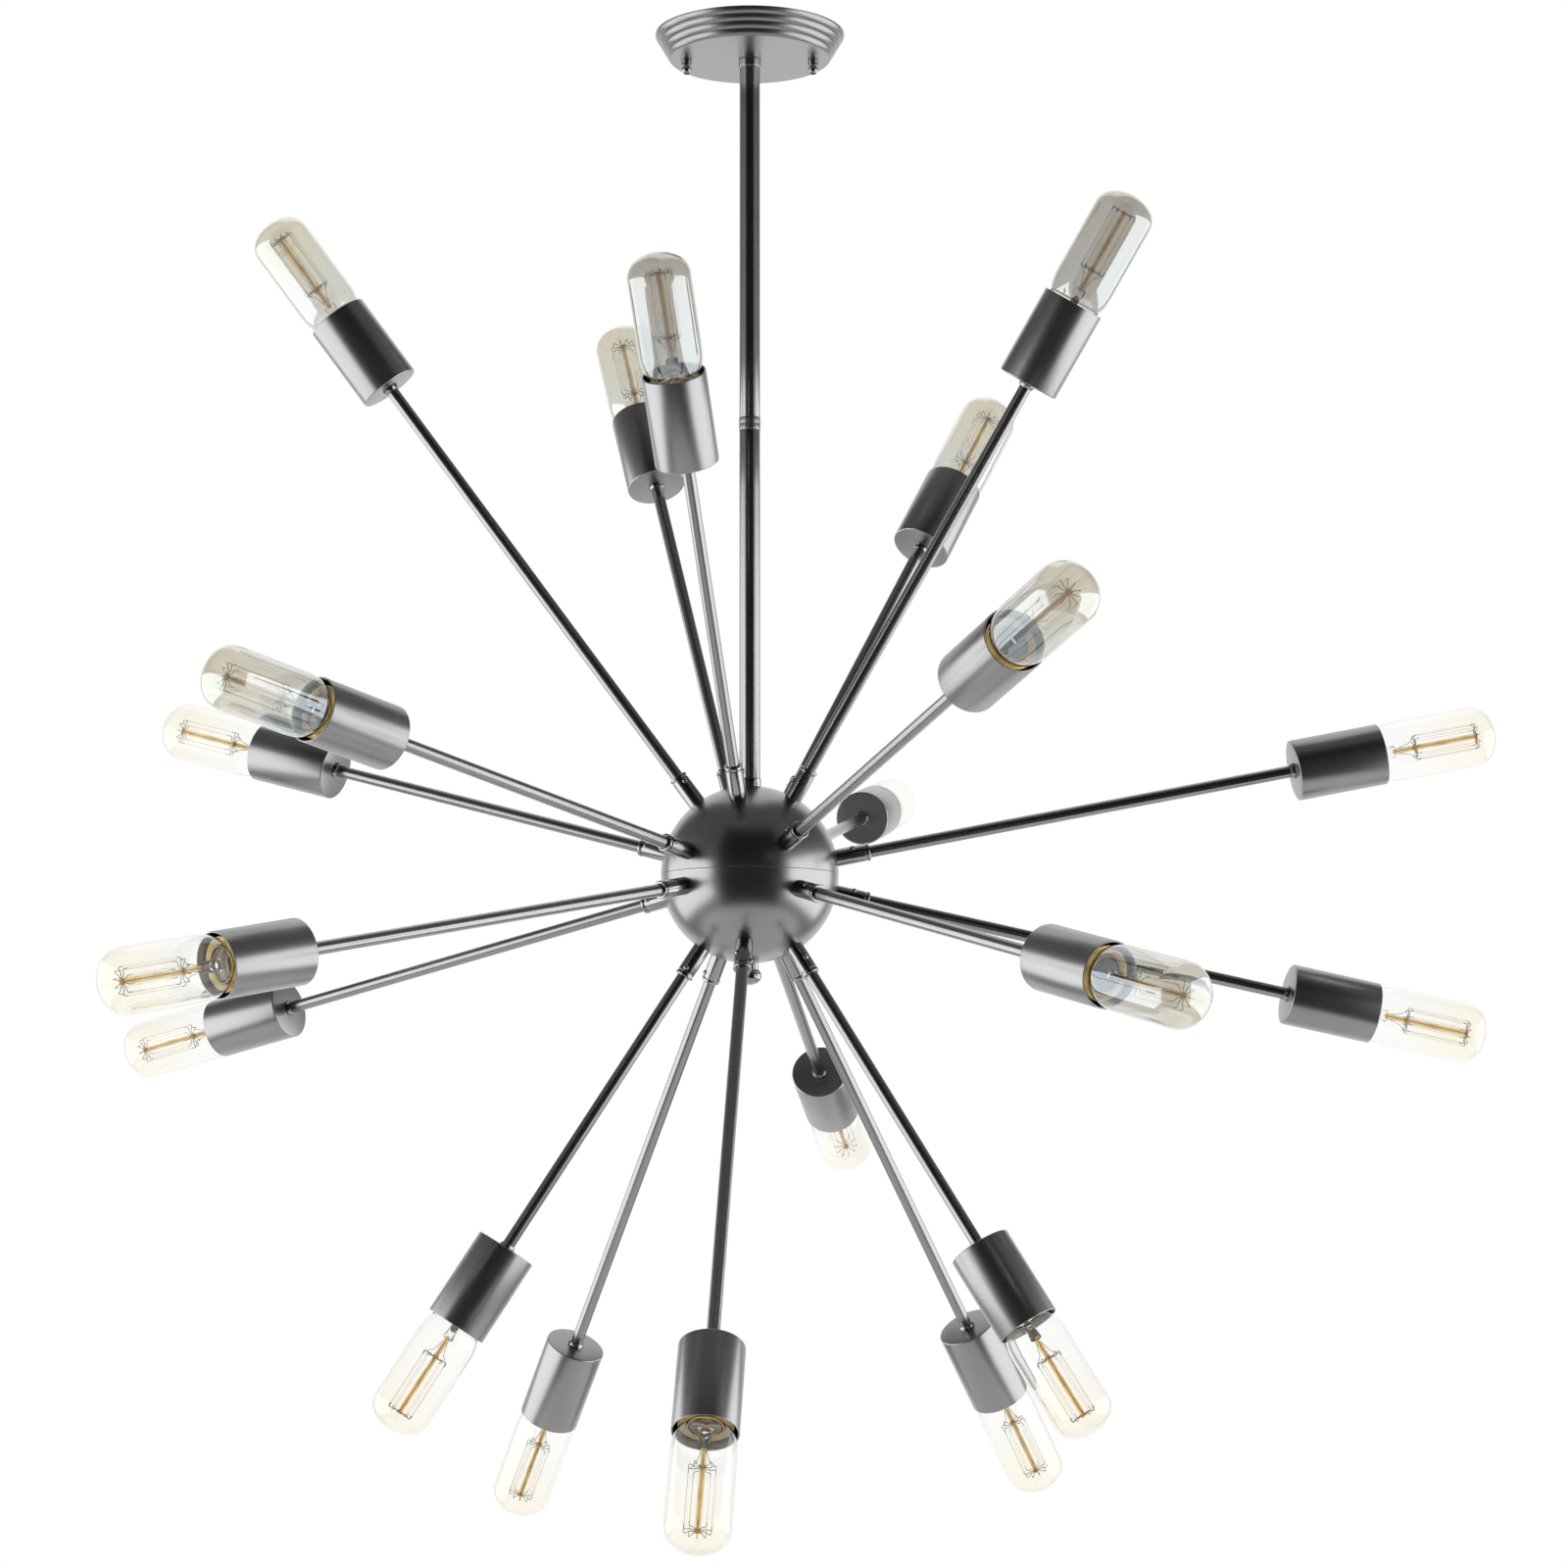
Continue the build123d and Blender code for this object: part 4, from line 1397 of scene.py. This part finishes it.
@dataclass
class Arms:
    """The twenty collars with their set screws, and the tubes."""

    finishes: Finishes
    rod: float = ROD
    collar: float = 6.7
    collar_length: float = 25.5
    socket: float = 22.5
    bead: float = 7.0
    bead_height: float = 2.7
    stub: tuple[float, float] = (5.0, 3.4)
    screws: tuple[tuple[float, float], ...] = ((6.4, 20.0), (12.8, 130.0))
    screw_head: tuple[float, float] = (2.1, 1.5)
    screw_shank: tuple[float, float] = (1.45, 1.9)
    screw_seat: float = 0.05  # how far a head sinks into its collar
    slot: tuple[float, float] = (0.55, 0.9)
    stub_depth: float = 7.0
    undercut: float = 0.55
    past_cup: float = 8.7

    @property
    def rim(self) -> float:
        """The collar rim's distance from the hub's centre."""
        return HUB_R + self.collar_length

    def collars(self) -> None:
        """The turned collars, seated on the ball, with a bead at the rim."""
        stub, bore = self.stub
        rim, groove = self.rim, self.rim - self.bead_height
        start = rim - self.socket
        seat_out = math.sqrt(HUB_R**2 - self.collar**2)
        seat_in = math.sqrt(HUB_R**2 - stub**2)
        inside, foot = self.rod + 0.1, HUB_R - self.stub_depth
        neck = self.collar - self.undercut
        stations = rounded(
            [
                Corner(bore, foot), Corner(stub, foot), Corner(stub, seat_in),
                Corner(self.collar, seat_out), Corner(self.collar, groove - 1.0, 0.2),
                Corner(neck, groove - 0.85), Corner(neck, groove),
                Corner(self.bead, groove, 0.9), Corner(self.bead, rim, 0.9),
                Corner(inside, rim, 0.2), Corner(inside, start), Corner(bore, start),
            ]
        )
        piece = turned("collar", stations, 48)
        on_every_arm(
            "arm_collars", piece, lambda arm: 0.0, self.finishes.polished,
            in_tiers("collars"), ANY_TURN, 4,
        )

    def screw(self) -> bpy.types.Mesh:
        """A slotted round-head screw.

        Returns:
            The screw, its head's underside at height 0, pointing along Z.
        """
        radius, height = self.screw_head
        ball = (radius**2 + height**2) / (2 * height)
        spread = math.degrees(math.asin(radius / ball))
        shank, depth = self.screw_shank
        stations: list[Station] = [(0.0, -depth, 0.0), (shank, -depth, 0.0)]
        stations += [(shank, -self.screw_seat, 0.0), (radius, -self.screw_seat, 0.0)]
        stations += arc((0.0, height - ball), ball, 90.0 - spread, 90.0, 6)
        head = turned("screw_head", stations, 20)
        slot = bpy.data.meshes.new("slot")
        work = bmesh.new()
        bmesh.ops.create_cube(work, size=1.0)
        size = Vector((self.slot[0], 2 * radius + 1, self.slot[1])) * MM
        bmesh.ops.scale(work, vec=size, verts=work.verts)
        bmesh.ops.translate(work, vec=(0, 0, height * MM), verts=work.verts)
        work.to_mesh(slot)
        work.free()
        solid, cutter = (bpy.data.objects.new(m.name, m) for m in (head, slot))
        for item in (solid, cutter):
            bpy.context.scene.collection.objects.link(item)
        cut = solid.modifiers.new("slot", "BOOLEAN")
        cut.operation, cut.object, cut.solver = "DIFFERENCE", cutter, "EXACT"
        bpy.context.view_layer.update()
        depsgraph = bpy.context.evaluated_depsgraph_get()
        mesh = bpy.data.meshes.new_from_object(solid.evaluated_get(depsgraph))
        for item in (solid, cutter):
            bpy.data.objects.remove(item)
        return mesh

    def screw_pair(self) -> None:
        """Two set screws in every collar, staggered round it."""
        pair = []
        for from_rim, angle in self.screws:
            mesh = self.screw()
            mesh.transform(
                Matrix.Rotation(math.radians(angle), 4, "Z")
                @ Matrix.Translation((self.collar * MM, 0.0, (self.rim - from_rim) * MM))
                @ Matrix.Rotation(math.radians(90), 4, "Y")
            )
            pair.append(mesh)
        piece = soften(mark_place(joined("screw_pair", pair)))
        on_every_arm(
            "arm_screws", piece, lambda arm: 0.0, self.finishes.polished,
            ["set_screws"],
        )

    def tubes(self) -> None:
        """The straight arm tubes, from collar to lampholder."""
        start = self.rim - self.socket
        mesh = swept_on_arms(
            "arm_tubes", self.rod, 40, start,
            lambda arm: HUB_R + arm.reach + self.past_cup, self.finishes.tube,
        )
        stand("arm_tubes", mesh, in_tiers("tubes"))

    def build(self) -> None:
        """Builds collars, screws and tubes."""
        self.collars()
        self.screw_pair()
        self.tubes()


@dataclass
class Cups:
    """The twenty cups with their ferrules, lampholders and brass sleeves."""

    finishes: Finishes
    radius: float = 23.5
    length: float = CUP_LENGTH
    sheet: float = 1.2
    edge: float = 1.0
    rod: float = ROD
    ferrule: tuple[float, float] = (6.3, 3.2)
    holder: float = 19.0
    holder_cap: tuple[float, float] = (14.0, 13.0)
    set_back: float = 6.0
    nut_height: float = 3.5
    sleeve: float = 13.7
    sleeve_wall: float = 0.5
    sleeve_length: float = 20.0
    holder_floor: float = -30.9
    flange: float = 0.3  # how far the sleeve's grooved face runs past the holder's edge

    def at_back(self, arm: Arm) -> float:
        """The cup back's distance from the hub's centre."""
        return HUB_R + arm.reach

    def at_mouth(self, arm: Arm) -> float:
        """The cup mouth's distance from the hub's centre."""
        return HUB_R + arm.reach + self.length

    def cups(self) -> None:
        """The spun cups: closed back, rounded edge, thin rolled mouth."""
        bore, inside = self.rod + 0.1, self.radius - self.sheet
        corners = [
            Corner(bore, 0.0), Corner(self.radius, 0.0, self.edge),
            Corner(self.radius, self.length / 2), Corner(self.radius, self.length, 0.45),
            Corner(inside, self.length, 0.45), Corner(inside, self.sheet, 0.5),
            Corner(bore, self.sheet),
        ]
        piece = turned("cup", rounded(corners), 88)
        on_every_arm(
            "lamp_cups", piece, self.at_back, self.finishes.satin,
            in_tiers("cups"), ANY_TURN, 7,
        )

    def ferrules(self) -> None:
        """The small turned rings behind the cups."""
        radius, height = self.ferrule
        corners = [
            Corner(self.rod, 0.0), Corner(radius, 0.0), Corner(radius, -1.0, 0.3),
            Corner(radius - 0.9, -height, 0.5), Corner(self.rod, -height),
        ]
        piece = turned("ferrule", rounded(corners), 40)
        on_every_arm(
            "cup_rings", piece, self.at_back, self.finishes.polished,
            ["cup_ferrules"],
        )

    def holders(self) -> None:
        """The moulded lampholders, from the nut at the cup's back to the ring in its mouth."""
        cap_radius, cap_height = self.holder_cap
        low = -self.length + self.sheet + self.nut_height
        cap, ring = low + cap_height, -self.set_back
        corners = [
            Corner(self.rod, low), Corner(cap_radius, low, 0.9), Corner(cap_radius, cap - 2, 0.4),
            Corner(self.holder, cap + 0.5, 0.8), Corner(self.holder, ring - 4.0, 0.15),
            Corner(self.holder - 0.5, ring - 3.8, 0.1), Corner(self.holder - 0.5, ring - 3.0, 0.1),
            Corner(self.holder, ring - 2.8, 0.15), Corner(self.holder, ring, 1.0),
            Corner(self.sleeve, ring, 0.7), Corner(self.sleeve, self.holder_floor),
            Corner(0.0, self.holder_floor), Corner(0.0, low + 5), Corner(self.rod, low + 5),
        ]
        piece = turned("holder", rounded(corners), 64)
        on_every_arm(
            "lamp_holders", piece, self.at_mouth, self.finishes.holder,
            in_tiers("lampholders"), ANY_TURN, 3,
        )

    def sleeves(self) -> None:
        """The thin brass sleeves, with the rounded thread rolled into them."""
        top = -self.set_back - 1.0
        low = top - self.sleeve_length
        outer, inner = self.sleeve, self.sleeve - self.sleeve_wall
        waves, grooves = 28, 24
        ring, lip = -self.set_back, self.holder + self.flange
        width = lip - inner - 0.8
        stations: list[Station] = [(outer, low, 0.0), (outer, top + 0.3, 0.0)]
        stations += [(outer + 0.9, ring + 0.05, 0.0), (lip, ring + 0.05, 0.0)]
        stations += [
            (lip - width * k / grooves, ring + 0.3 + 0.12 * math.cos(math.tau * k / 6), 0.0)
            for k in range(grooves + 1)
        ]
        stations += [
            (inner + 0.2 * math.sin(math.tau * k / 7) ** 2, top - (top - low) * k / waves, 0.0)
            for k in range(waves + 1)
        ]
        piece = turned("sleeve", stations, 48)
        on_every_arm(
            "brass_sleeves", piece, self.at_mouth, self.finishes.brass,
            ["screw_sleeves"], ANY_TURN, 5,
        )

    def build(self, frame: Mapping[str, Any]) -> None:
        """Builds the cups and what they hold."""
        self.cups()
        self.ferrules()
        self.holders()
        self.sleeves()
        dress(frame, self.finishes.steel, "cup_nuts")
        dress(frame, self.finishes.brass, "contact_leaves")


@dataclass
class Lamps:
    """Twenty tubular filament lamps. Each is its own body, made in its own frame with Z = 0
    at the cup's mouth and then copied into place."""

    finishes: Finishes
    radius: float = 23.0
    length: float = 90.0
    corner: float = 15.0
    crown: float = 30.0
    neck: float = 12.0
    glass: float = 0.8
    shoulder: tuple[float, float] = (-7.0, 19.0)
    base: float = 12.9
    base_top: float = -4.0
    threads: int = 5
    pitch: float = 3.6
    depth: float = 0.6
    cone: float = 4.5
    tip: tuple[float, float] = (3.4, 1.5)
    flare: float = 18.0
    post: float = 0.35
    gilt_rod: tuple[float, float] = (0.8, 1.25)
    cage: tuple[float, float] = (27.0, 76.0)
    cage_radius: float = 9.8
    strands: int = 10
    wire: float = 0.14
    hook: float = 0.27
    segments: int = 72
    half_way: float = 41.0  # the point past the mouth where its turn is judged
    seen_from: tuple[float, float, float] = (0.0, -2.85, -0.91)
    seed: int = 12
    loose: float = 0.5  # the most that a lamp's turn strays from the portrait's, in radians
    lustred: frozenset[int] = frozenset({1, 3, 5, 6, 7, 13})
    smoky: frozenset[int] = frozenset({2, 4})
    templates: dict[str, bpy.types.Mesh] = field(default_factory=dict)

    def envelope_profile(self, inset: float) -> list[Station]:
        """The bulb's outline from its neck to the top of its crown.

        Args:
            inset: How far inside the outer face it runs, in mm.

        Returns:
            The stations.
        """
        low, high = self.shoulder
        side, neck = self.radius - inset, self.neck - inset
        bend = ((neck, low), (neck + 0.6, low + 3.8), (side - 0.6, low + 0.6), (side, high - 3))
        made: list[Station] = []
        for k in range(19):
            t = k / 18
            weights = ((1 - t) ** 3, 3 * t * (1 - t) ** 2, 3 * t * t * (1 - t), t**3)
            radius, height = (sum(w * p[a] for w, p in zip(weights, bend)) for a in (0, 1))
            made.append((radius, height, 0.0))
        corner_x = self.radius - self.corner
        crown_z = self.length - self.crown
        rise = math.sqrt((self.crown - self.corner) ** 2 - corner_x**2)
        lean = math.degrees(math.atan2(rise, corner_x))
        made += [(side, high + (crown_z + rise - high) * k / 4, 0.0) for k in range(1, 4)]
        made += arc((corner_x, crown_z + rise), self.corner - inset, 0.0, lean, 12)
        made += arc((0.0, crown_z), self.crown - inset, lean, 90.0, 9)[1:]
        made[-1] = (0.0, made[-1][1], 0.0)
        return made

    def envelope(self) -> bpy.types.Mesh:
        """The blown glass: two walls closed at the neck, its free part in a slot of its own.

        Returns:
            The mesh in the lamp's own frame.
        """
        inner = list(reversed(self.envelope_profile(self.glass)))
        outer = self.envelope_profile(0.0)
        shell = turned("envelope", inner + outer, self.segments)
        painted(shell, self.finishes.glass, self.finishes.glass)
        for face in shell.polygons:  # the second slot starts just past the cup's mouth
            face.material_index = int(face.center.z > 1.0 * MM)
        return shell

    def screw_base(self) -> bpy.types.Mesh:
        """The brass screw shell, its insulator and its centre contact.

        Returns:
            The mesh in the lamp's own frame.
        """
        top = self.base_top
        low = top - 0.8 - self.threads * self.pitch
        foot = low - 0.8
        steps = self.threads * 8
        rows = [low + (top - 0.8 - low) * k / steps for k in range(steps + 1)]

        def rolled(radius: float, height: float, angle: float) -> float:
            """The rolled thread: a smooth helix that fades out at both ends."""
            fade = min(1.0, max(0.0, (height - low) / 1.2), max(0.0, (top - 0.8 - height) / 1.2))
            wave = 0.5 - 0.5 * math.cos(math.tau * (height - low) / self.pitch - angle)
            return radius - self.depth * wave * fade

        outside: list[Station] = [(self.base, foot, 0.0)]
        outside += [(self.base, z, 0.0) for z in rows]
        outside += [(self.base, top - 0.2, 0.0), (self.base - 0.2, top, 0.6)]
        wall = 0.35
        inside: list[Station] = [(self.base - wall - 0.2, top, 0.0)]
        inside += [(self.base - wall, z, 0.0) for z in reversed(rows)]
        inside += [(self.base - wall, foot, 0.0)]
        shell = turned("shell", outside + inside, self.segments, shape=rolled)
        painted(shell, self.finishes.shell)
        tip_radius, tip_length = self.tip
        cone = foot - self.cone
        insulator = turned(
            "insulator",
            rounded(
                [
                    Corner(0.0, foot + 0.5), Corner(self.base - wall, foot + 0.5),
                    Corner(self.base - 0.1, foot, 0.3), Corner(tip_radius + 2.0, cone, 0.6),
                    Corner(tip_radius, cone), Corner(0.0, cone),
                ],
                closed=False,
            ),
            48,
        )
        painted(insulator, self.finishes.holder)
        end = cone - tip_length
        contact = turned(
            "contact",
            rounded(
                [
                    Corner(0.0, cone + 0.2), Corner(tip_radius, cone + 0.2),
                    Corner(tip_radius, end, 1.0), Corner(0.0, end),
                ],
                closed=False,
            ),
            32,
        )
        painted(contact, self.finishes.solder)
        return joined("screw_base", [shell, insulator, contact])

    def stem(self) -> bpy.types.Mesh:
        """The inner glass: a flared foot drawn up into a flattened pinch.

        Returns:
            The mesh in the lamp's own frame.
        """
        low = self.shoulder[0] + 1.0
        wide = self.neck - self.glass - 0.05
        outer: list[Station] = [(wide, low, 0.0), (wide, low + 0.9, 0.0)]
        for k in range(1, 11):
            t = k / 10
            outer.append((3.0 + (wide - 3.0) * (1 - t) ** 4.5, low + 0.9 + 8.0 * t, 0.0))
        outer += [(3.0, low + self.flare - 1.4, 0.0), (2.2, low + self.flare - 0.3, 0.0)]
        outer += [(0.0, low + self.flare, 0.0)]
        inner: list[Station] = [(0.0, low + 6.2, 0.0), (1.6, low + 6.0, 0.0)]
        for k in range(1, 8):
            t = 1 - k / 8
            inner.append((1.6 + (wide - 2.6) * (1 - t) ** 4.2, low + 5.8 * t, 0.0))
        inner.append((wide - 0.9, low, 0.0))
        flare = turned("flare", inner + outer, 48)
        top = low + self.flare
        for vertex in flare.vertices:  # the pinch is pressed flat
            share = min(1.0, max(0.0, (vertex.co.z / MM - (low + 7.0)) / 3.0))
            vertex.co.x *= 1.0 + 0.55 * share * (vertex.co.z / MM < top)
            vertex.co.y *= 1.0 - 0.45 * share
        return painted(soften(mark_place(flare)), self.finishes.stem_glass)

    def works(self) -> bpy.types.Mesh:
        """The core between two gilt rods, with its spiders, strands and lead wires.

        Returns:
            The mesh in the lamp's own frame.
        """
        low, high = self.cage
        foot = self.shoulder[0] + self.flare
        stations: list[Station] = [(0.0, foot - 2.0, 0.0), (self.post, foot - 2.0, 0.0)]
        for height, button, rise in ((low, 2.4, 0.7), (high, 2.2, 0.6)):
            stations += [
                (self.post, height - 1.4, 0.0), (button, height - 1.1, 0.0),
                (button + 0.15, height - 0.3, 0.0), (button, height + 0.4, 0.0),
                (self.post, height + rise, 0.0),
            ]
        stations.append((0.0, high + 0.6, 0.0))
        post = painted(turned("post", stations, 20, closed=False), self.finishes.amber)
        thick, apart = self.gilt_rod
        rail = [  # two gilt rods, closer together where the pinch holds them
            (apart * 0.6, 0.0, foot - 1.5), (apart, 0.0, foot + 2.0), (apart, 0.0, high + 0.2),
        ]
        rails = ring_of_wires("rails", rail, 2, thick, 12, self.finishes.gilt)
        r = self.cage_radius
        hooks = []
        for name, end, way in (("low_hooks", low, 1.0), ("high_hooks", high, -1.0)):
            hook = [
                (0.6, 0.0, end), (r * 0.5, 0.0, end + way * 0.9), (r * 0.92, 0.0, end - way * 0.3),
                (r, 0.0, end + way * 0.6), (r, 0.0, end + way * 3.0),
            ]
            wire = self.finishes.dark_wire
            hooks.append(ring_of_wires(name, hook, self.strands, self.hook, 6, wire))
        strand = [(r, 0.0, low + 2.6), (r, 0.0, (low + high) / 2), (r, 0.0, high - 2.6)]
        cage = ring_of_wires("cage", strand, self.strands, self.wire, 6, self.finishes.strand)
        lead = [
            (1.6, 0.0, foot - 1.0), (2.2, 0.0, foot + 4.0), (4.6, 0.0, foot + 12.0),
            (7.4, 0.0, low - 1.6), (7.9, 0.0, low + 0.2),
        ]
        leads = ring_of_wires("leads", lead, 2, 0.22, 6, self.finishes.dark_wire)
        return joined("works", [post, rails, cage, leads, *hooks])

    def roll(self, arm: Arm, chance: float) -> float:
        """How far a lamp is screwed round: its rods stand side by side as in the portrait.

        Args:
            arm: The lamp's arm.
            chance: A small turn of its own, in radians.

        Returns:
            The turn about the arm, in radians.
        """
        place = arm.matrix(HUB_R + arm.reach + CUP_LENGTH + self.half_way)
        sight = place.translation - Vector(self.seen_from)
        level = sight.cross(arm.along).normalized()
        across, side = place.col[0].to_3d(), place.col[1].to_3d()
        return math.atan2(level.dot(side), level.dot(across)) + chance

    def build(self) -> None:
        """Makes the lamp once, then sets a copy with its own turn on every arm."""
        self.templates = {
            "glass": self.envelope(),
            "base": self.screw_base(),
            "stem": self.stem(),
            "works": self.works(),
        }
        dice = random.Random(self.seed)
        for arm in ARMS:
            roll = self.roll(arm, dice.uniform(-self.loose, self.loose))
            matrix = arm.matrix(HUB_R + arm.reach + CUP_LENGTH, roll)
            for kind, model in self.templates.items():
                mesh = model.copy()
                mesh.transform(matrix)
                if kind == "glass" and arm.number in self.lustred | self.smoky:
                    smoked = arm.number in self.smoky
                    mesh.materials[1] = self.finishes.smoked if smoked else self.finishes.lustre
                stand(
                    f"lamp_{arm.number:02d}_{kind}", mesh,
                    [f"bulb_{arm.number:02d}"], f"lamp_{arm.number:02d}",
                )
        for model in self.templates.values():
            bpy.data.meshes.remove(model)


# ------------------------------------------------------------------------------- studio
@dataclass
class Studio:
    """Pale floor, pale surroundings, plain soft lamps and the portrait's camera."""

    distance: float = 2.850
    eye: float = -0.9104
    pitch: float = 0.11
    lens: float = 85.80
    shift: tuple[float, float] = (0.02181, 0.003625)
    floor: float = -2.4
    lamp_side: float = 2.6
    lamp_height: float = -1.08
    lamp_size: tuple[float, float] = (4.2, 2.5)
    lamp_level: float = 1.9
    room: float = 0.31  # the grey that metal mirrors
    room_fall: float = 0.17  # how much darker it is overhead
    fade: tuple[float, float] = (0.9, 2.4)  # where the floor turns white, in metres
    mirror_fade: tuple[float, float] = (1.5, 2.1)  # where metal stops mirroring it

    def camera(self) -> None:
        """The camera at the portrait's viewing angle."""
        data = bpy.data.cameras.new("portrait")
        data.lens, data.sensor_width = self.lens, 36.0
        data.shift_x, data.shift_y = self.shift
        data.clip_start, data.clip_end = 0.05, 60.0
        camera = bpy.data.objects.new("portrait", data)
        camera.location = (0.0, -self.distance, self.eye)
        camera.rotation_euler = (math.pi / 2 + self.pitch, 0.0, 0.0)
        bpy.context.scene.collection.objects.link(camera)
        bpy.context.scene.camera = camera

    def lamp(
        self, name: str, spot: Sequence[float], size: tuple[float, float], level: float,
        aim: Sequence[float],
    ) -> None:
        """One soft rectangular lamp.

        Args:
            name: Its name.
            spot: Where it stands, in metres.
            size: Its width and height, in metres.
            level: How bright its face is, where 1 is white.
            aim: The point that it looks at.
        """
        data = bpy.data.lights.new(name, "AREA")
        data.shape, data.size, data.size_y = "RECTANGLE", size[0], size[1]
        data.energy = math.pi * size[0] * size[1] * level
        lamp = bpy.data.objects.new(name, data)
        lamp.location = spot
        lamp.rotation_euler = (Vector(aim) - Vector(spot)).to_track_quat("-Z", "Y").to_euler()
        lamp.visible_camera = lamp.visible_transmission = False
        bpy.context.scene.collection.objects.link(lamp)

    def surroundings(self) -> None:
        """White to the eye and through glass. Metal also shows the darker room in front."""
        world = bpy.data.worlds.new("surroundings")
        bpy.context.scene.world = world
        world.use_nodes = True
        graph = Graph(world.node_tree)
        graph.tree.nodes.clear()
        path = graph.make("ShaderNodeLightPath")
        sky = graph.get("ShaderNodeTexCoord", key="Generated")
        split = graph.make("ShaderNodeSeparateXYZ", {}, {0: sky})
        x, y, z = (graph.wire(split, axis) for axis in "XYZ")
        behind = y / ((x * x + y * y) ** 0.5 + 0.0001)
        band = z.between(-0.80, -0.70) * (1.0 - z.between(0.78, 0.86))
        dark = (1.0 - behind.between(-0.76, -0.68)) * band
        plain = self.room - z.between(0.0, 0.6) * self.room_fall
        seen = (plain + behind.between(0.72, 0.92) * (1.0 - plain)) * (1.0 - dark * 0.96)
        glossy = graph.wire(path, "Is Glossy Ray")
        through = graph.wire(path, "Is Transmission Ray")
        open_white = graph.wire(path, "Is Camera Ray").largest(through)
        level = open_white + (1.0 - open_white) * (glossy * seen + (1.0 - glossy) * 0.5)
        white = {"Color": (1.0, 1.0, 1.0, 1.0), "Strength": level}
        surface = graph.make("ShaderNodeOutputWorld")
        graph.link(graph.get("ShaderNodeBackground", {}, white), surface, "Surface")

    def ground(self) -> None:
        """A pale floor that fades out to white and hides nothing from below."""
        mesh = bpy.data.meshes.new("floor")
        work = bmesh.new()
        bmesh.ops.create_circle(work, cap_ends=True, radius=12.0, segments=96)
        bmesh.ops.translate(work, vec=(0, 0, self.floor), verts=work.verts)
        work.to_mesh(mesh)
        work.free()
        graph = ShaderGraph("pale_floor")
        place = graph.vector("MULTIPLY", graph.object_place(), (1.0, 1.0, 0.0))
        reach = graph.vector("LENGTH", place)
        rim = reach.between(*self.fade)
        graph.feed(Base_Color=(0.86, 0.86, 0.86, 1.0), Roughness=0.8)
        white = graph.get("ShaderNodeEmission", {}, {"Strength": 1.0})
        clear = graph.get("ShaderNodeBsdfTransparent")
        back = graph.get("ShaderNodeNewGeometry", key="Backfacing")
        glossy = graph.get("ShaderNodeLightPath", key="Is Glossy Ray")
        away = reach.between(*self.mirror_fade) * glossy
        mix, pale = "ShaderNodeMixShader", graph.wire(graph.shader)
        faded = graph.get(mix, {}, {0: rim, 1: pale, 2: white})
        shown = graph.get(mix, {}, {0: back.largest(away), 1: faded, 2: clear})
        surface = next(n for n in graph.tree.nodes if n.type == "OUTPUT_MATERIAL")
        graph.link(shown, surface, "Surface")
        floor = bpy.data.objects.new("floor", painted(mesh, graph.material))
        bpy.context.scene.collection.objects.link(floor)

    def build(self) -> None:
        """Sets up everything round the object."""
        bpy.context.scene.view_settings.view_transform = "Standard"
        self.camera()
        self.surroundings()
        self.ground()
        for name, side in (("left", -1), ("right", 1)):
            spot = (side * self.lamp_side, 0.0, self.lamp_height)
            self.lamp(name, spot, self.lamp_size, self.lamp_level, (0.0, 0.0, self.lamp_height))
        LOG.info("studio ready")


def main() -> None:
    """Loads the frame, builds every sub-assembly in order and sets up the studio."""
    logging.basicConfig(level=logging.INFO, format="%(name)s: %(message)s")
    for leftover in list(bpy.data.objects):
        bpy.data.objects.remove(leftover)
    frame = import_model()
    finishes = Finishes.make()
    Canopy(finishes).build(frame)
    Stem(finishes).build()
    Hub(finishes).build(frame)
    Arms(finishes).build()
    Cups(finishes).build(frame)
    Lamps(finishes).build()
    Studio().build()


if __name__ == "__main__":
    main()
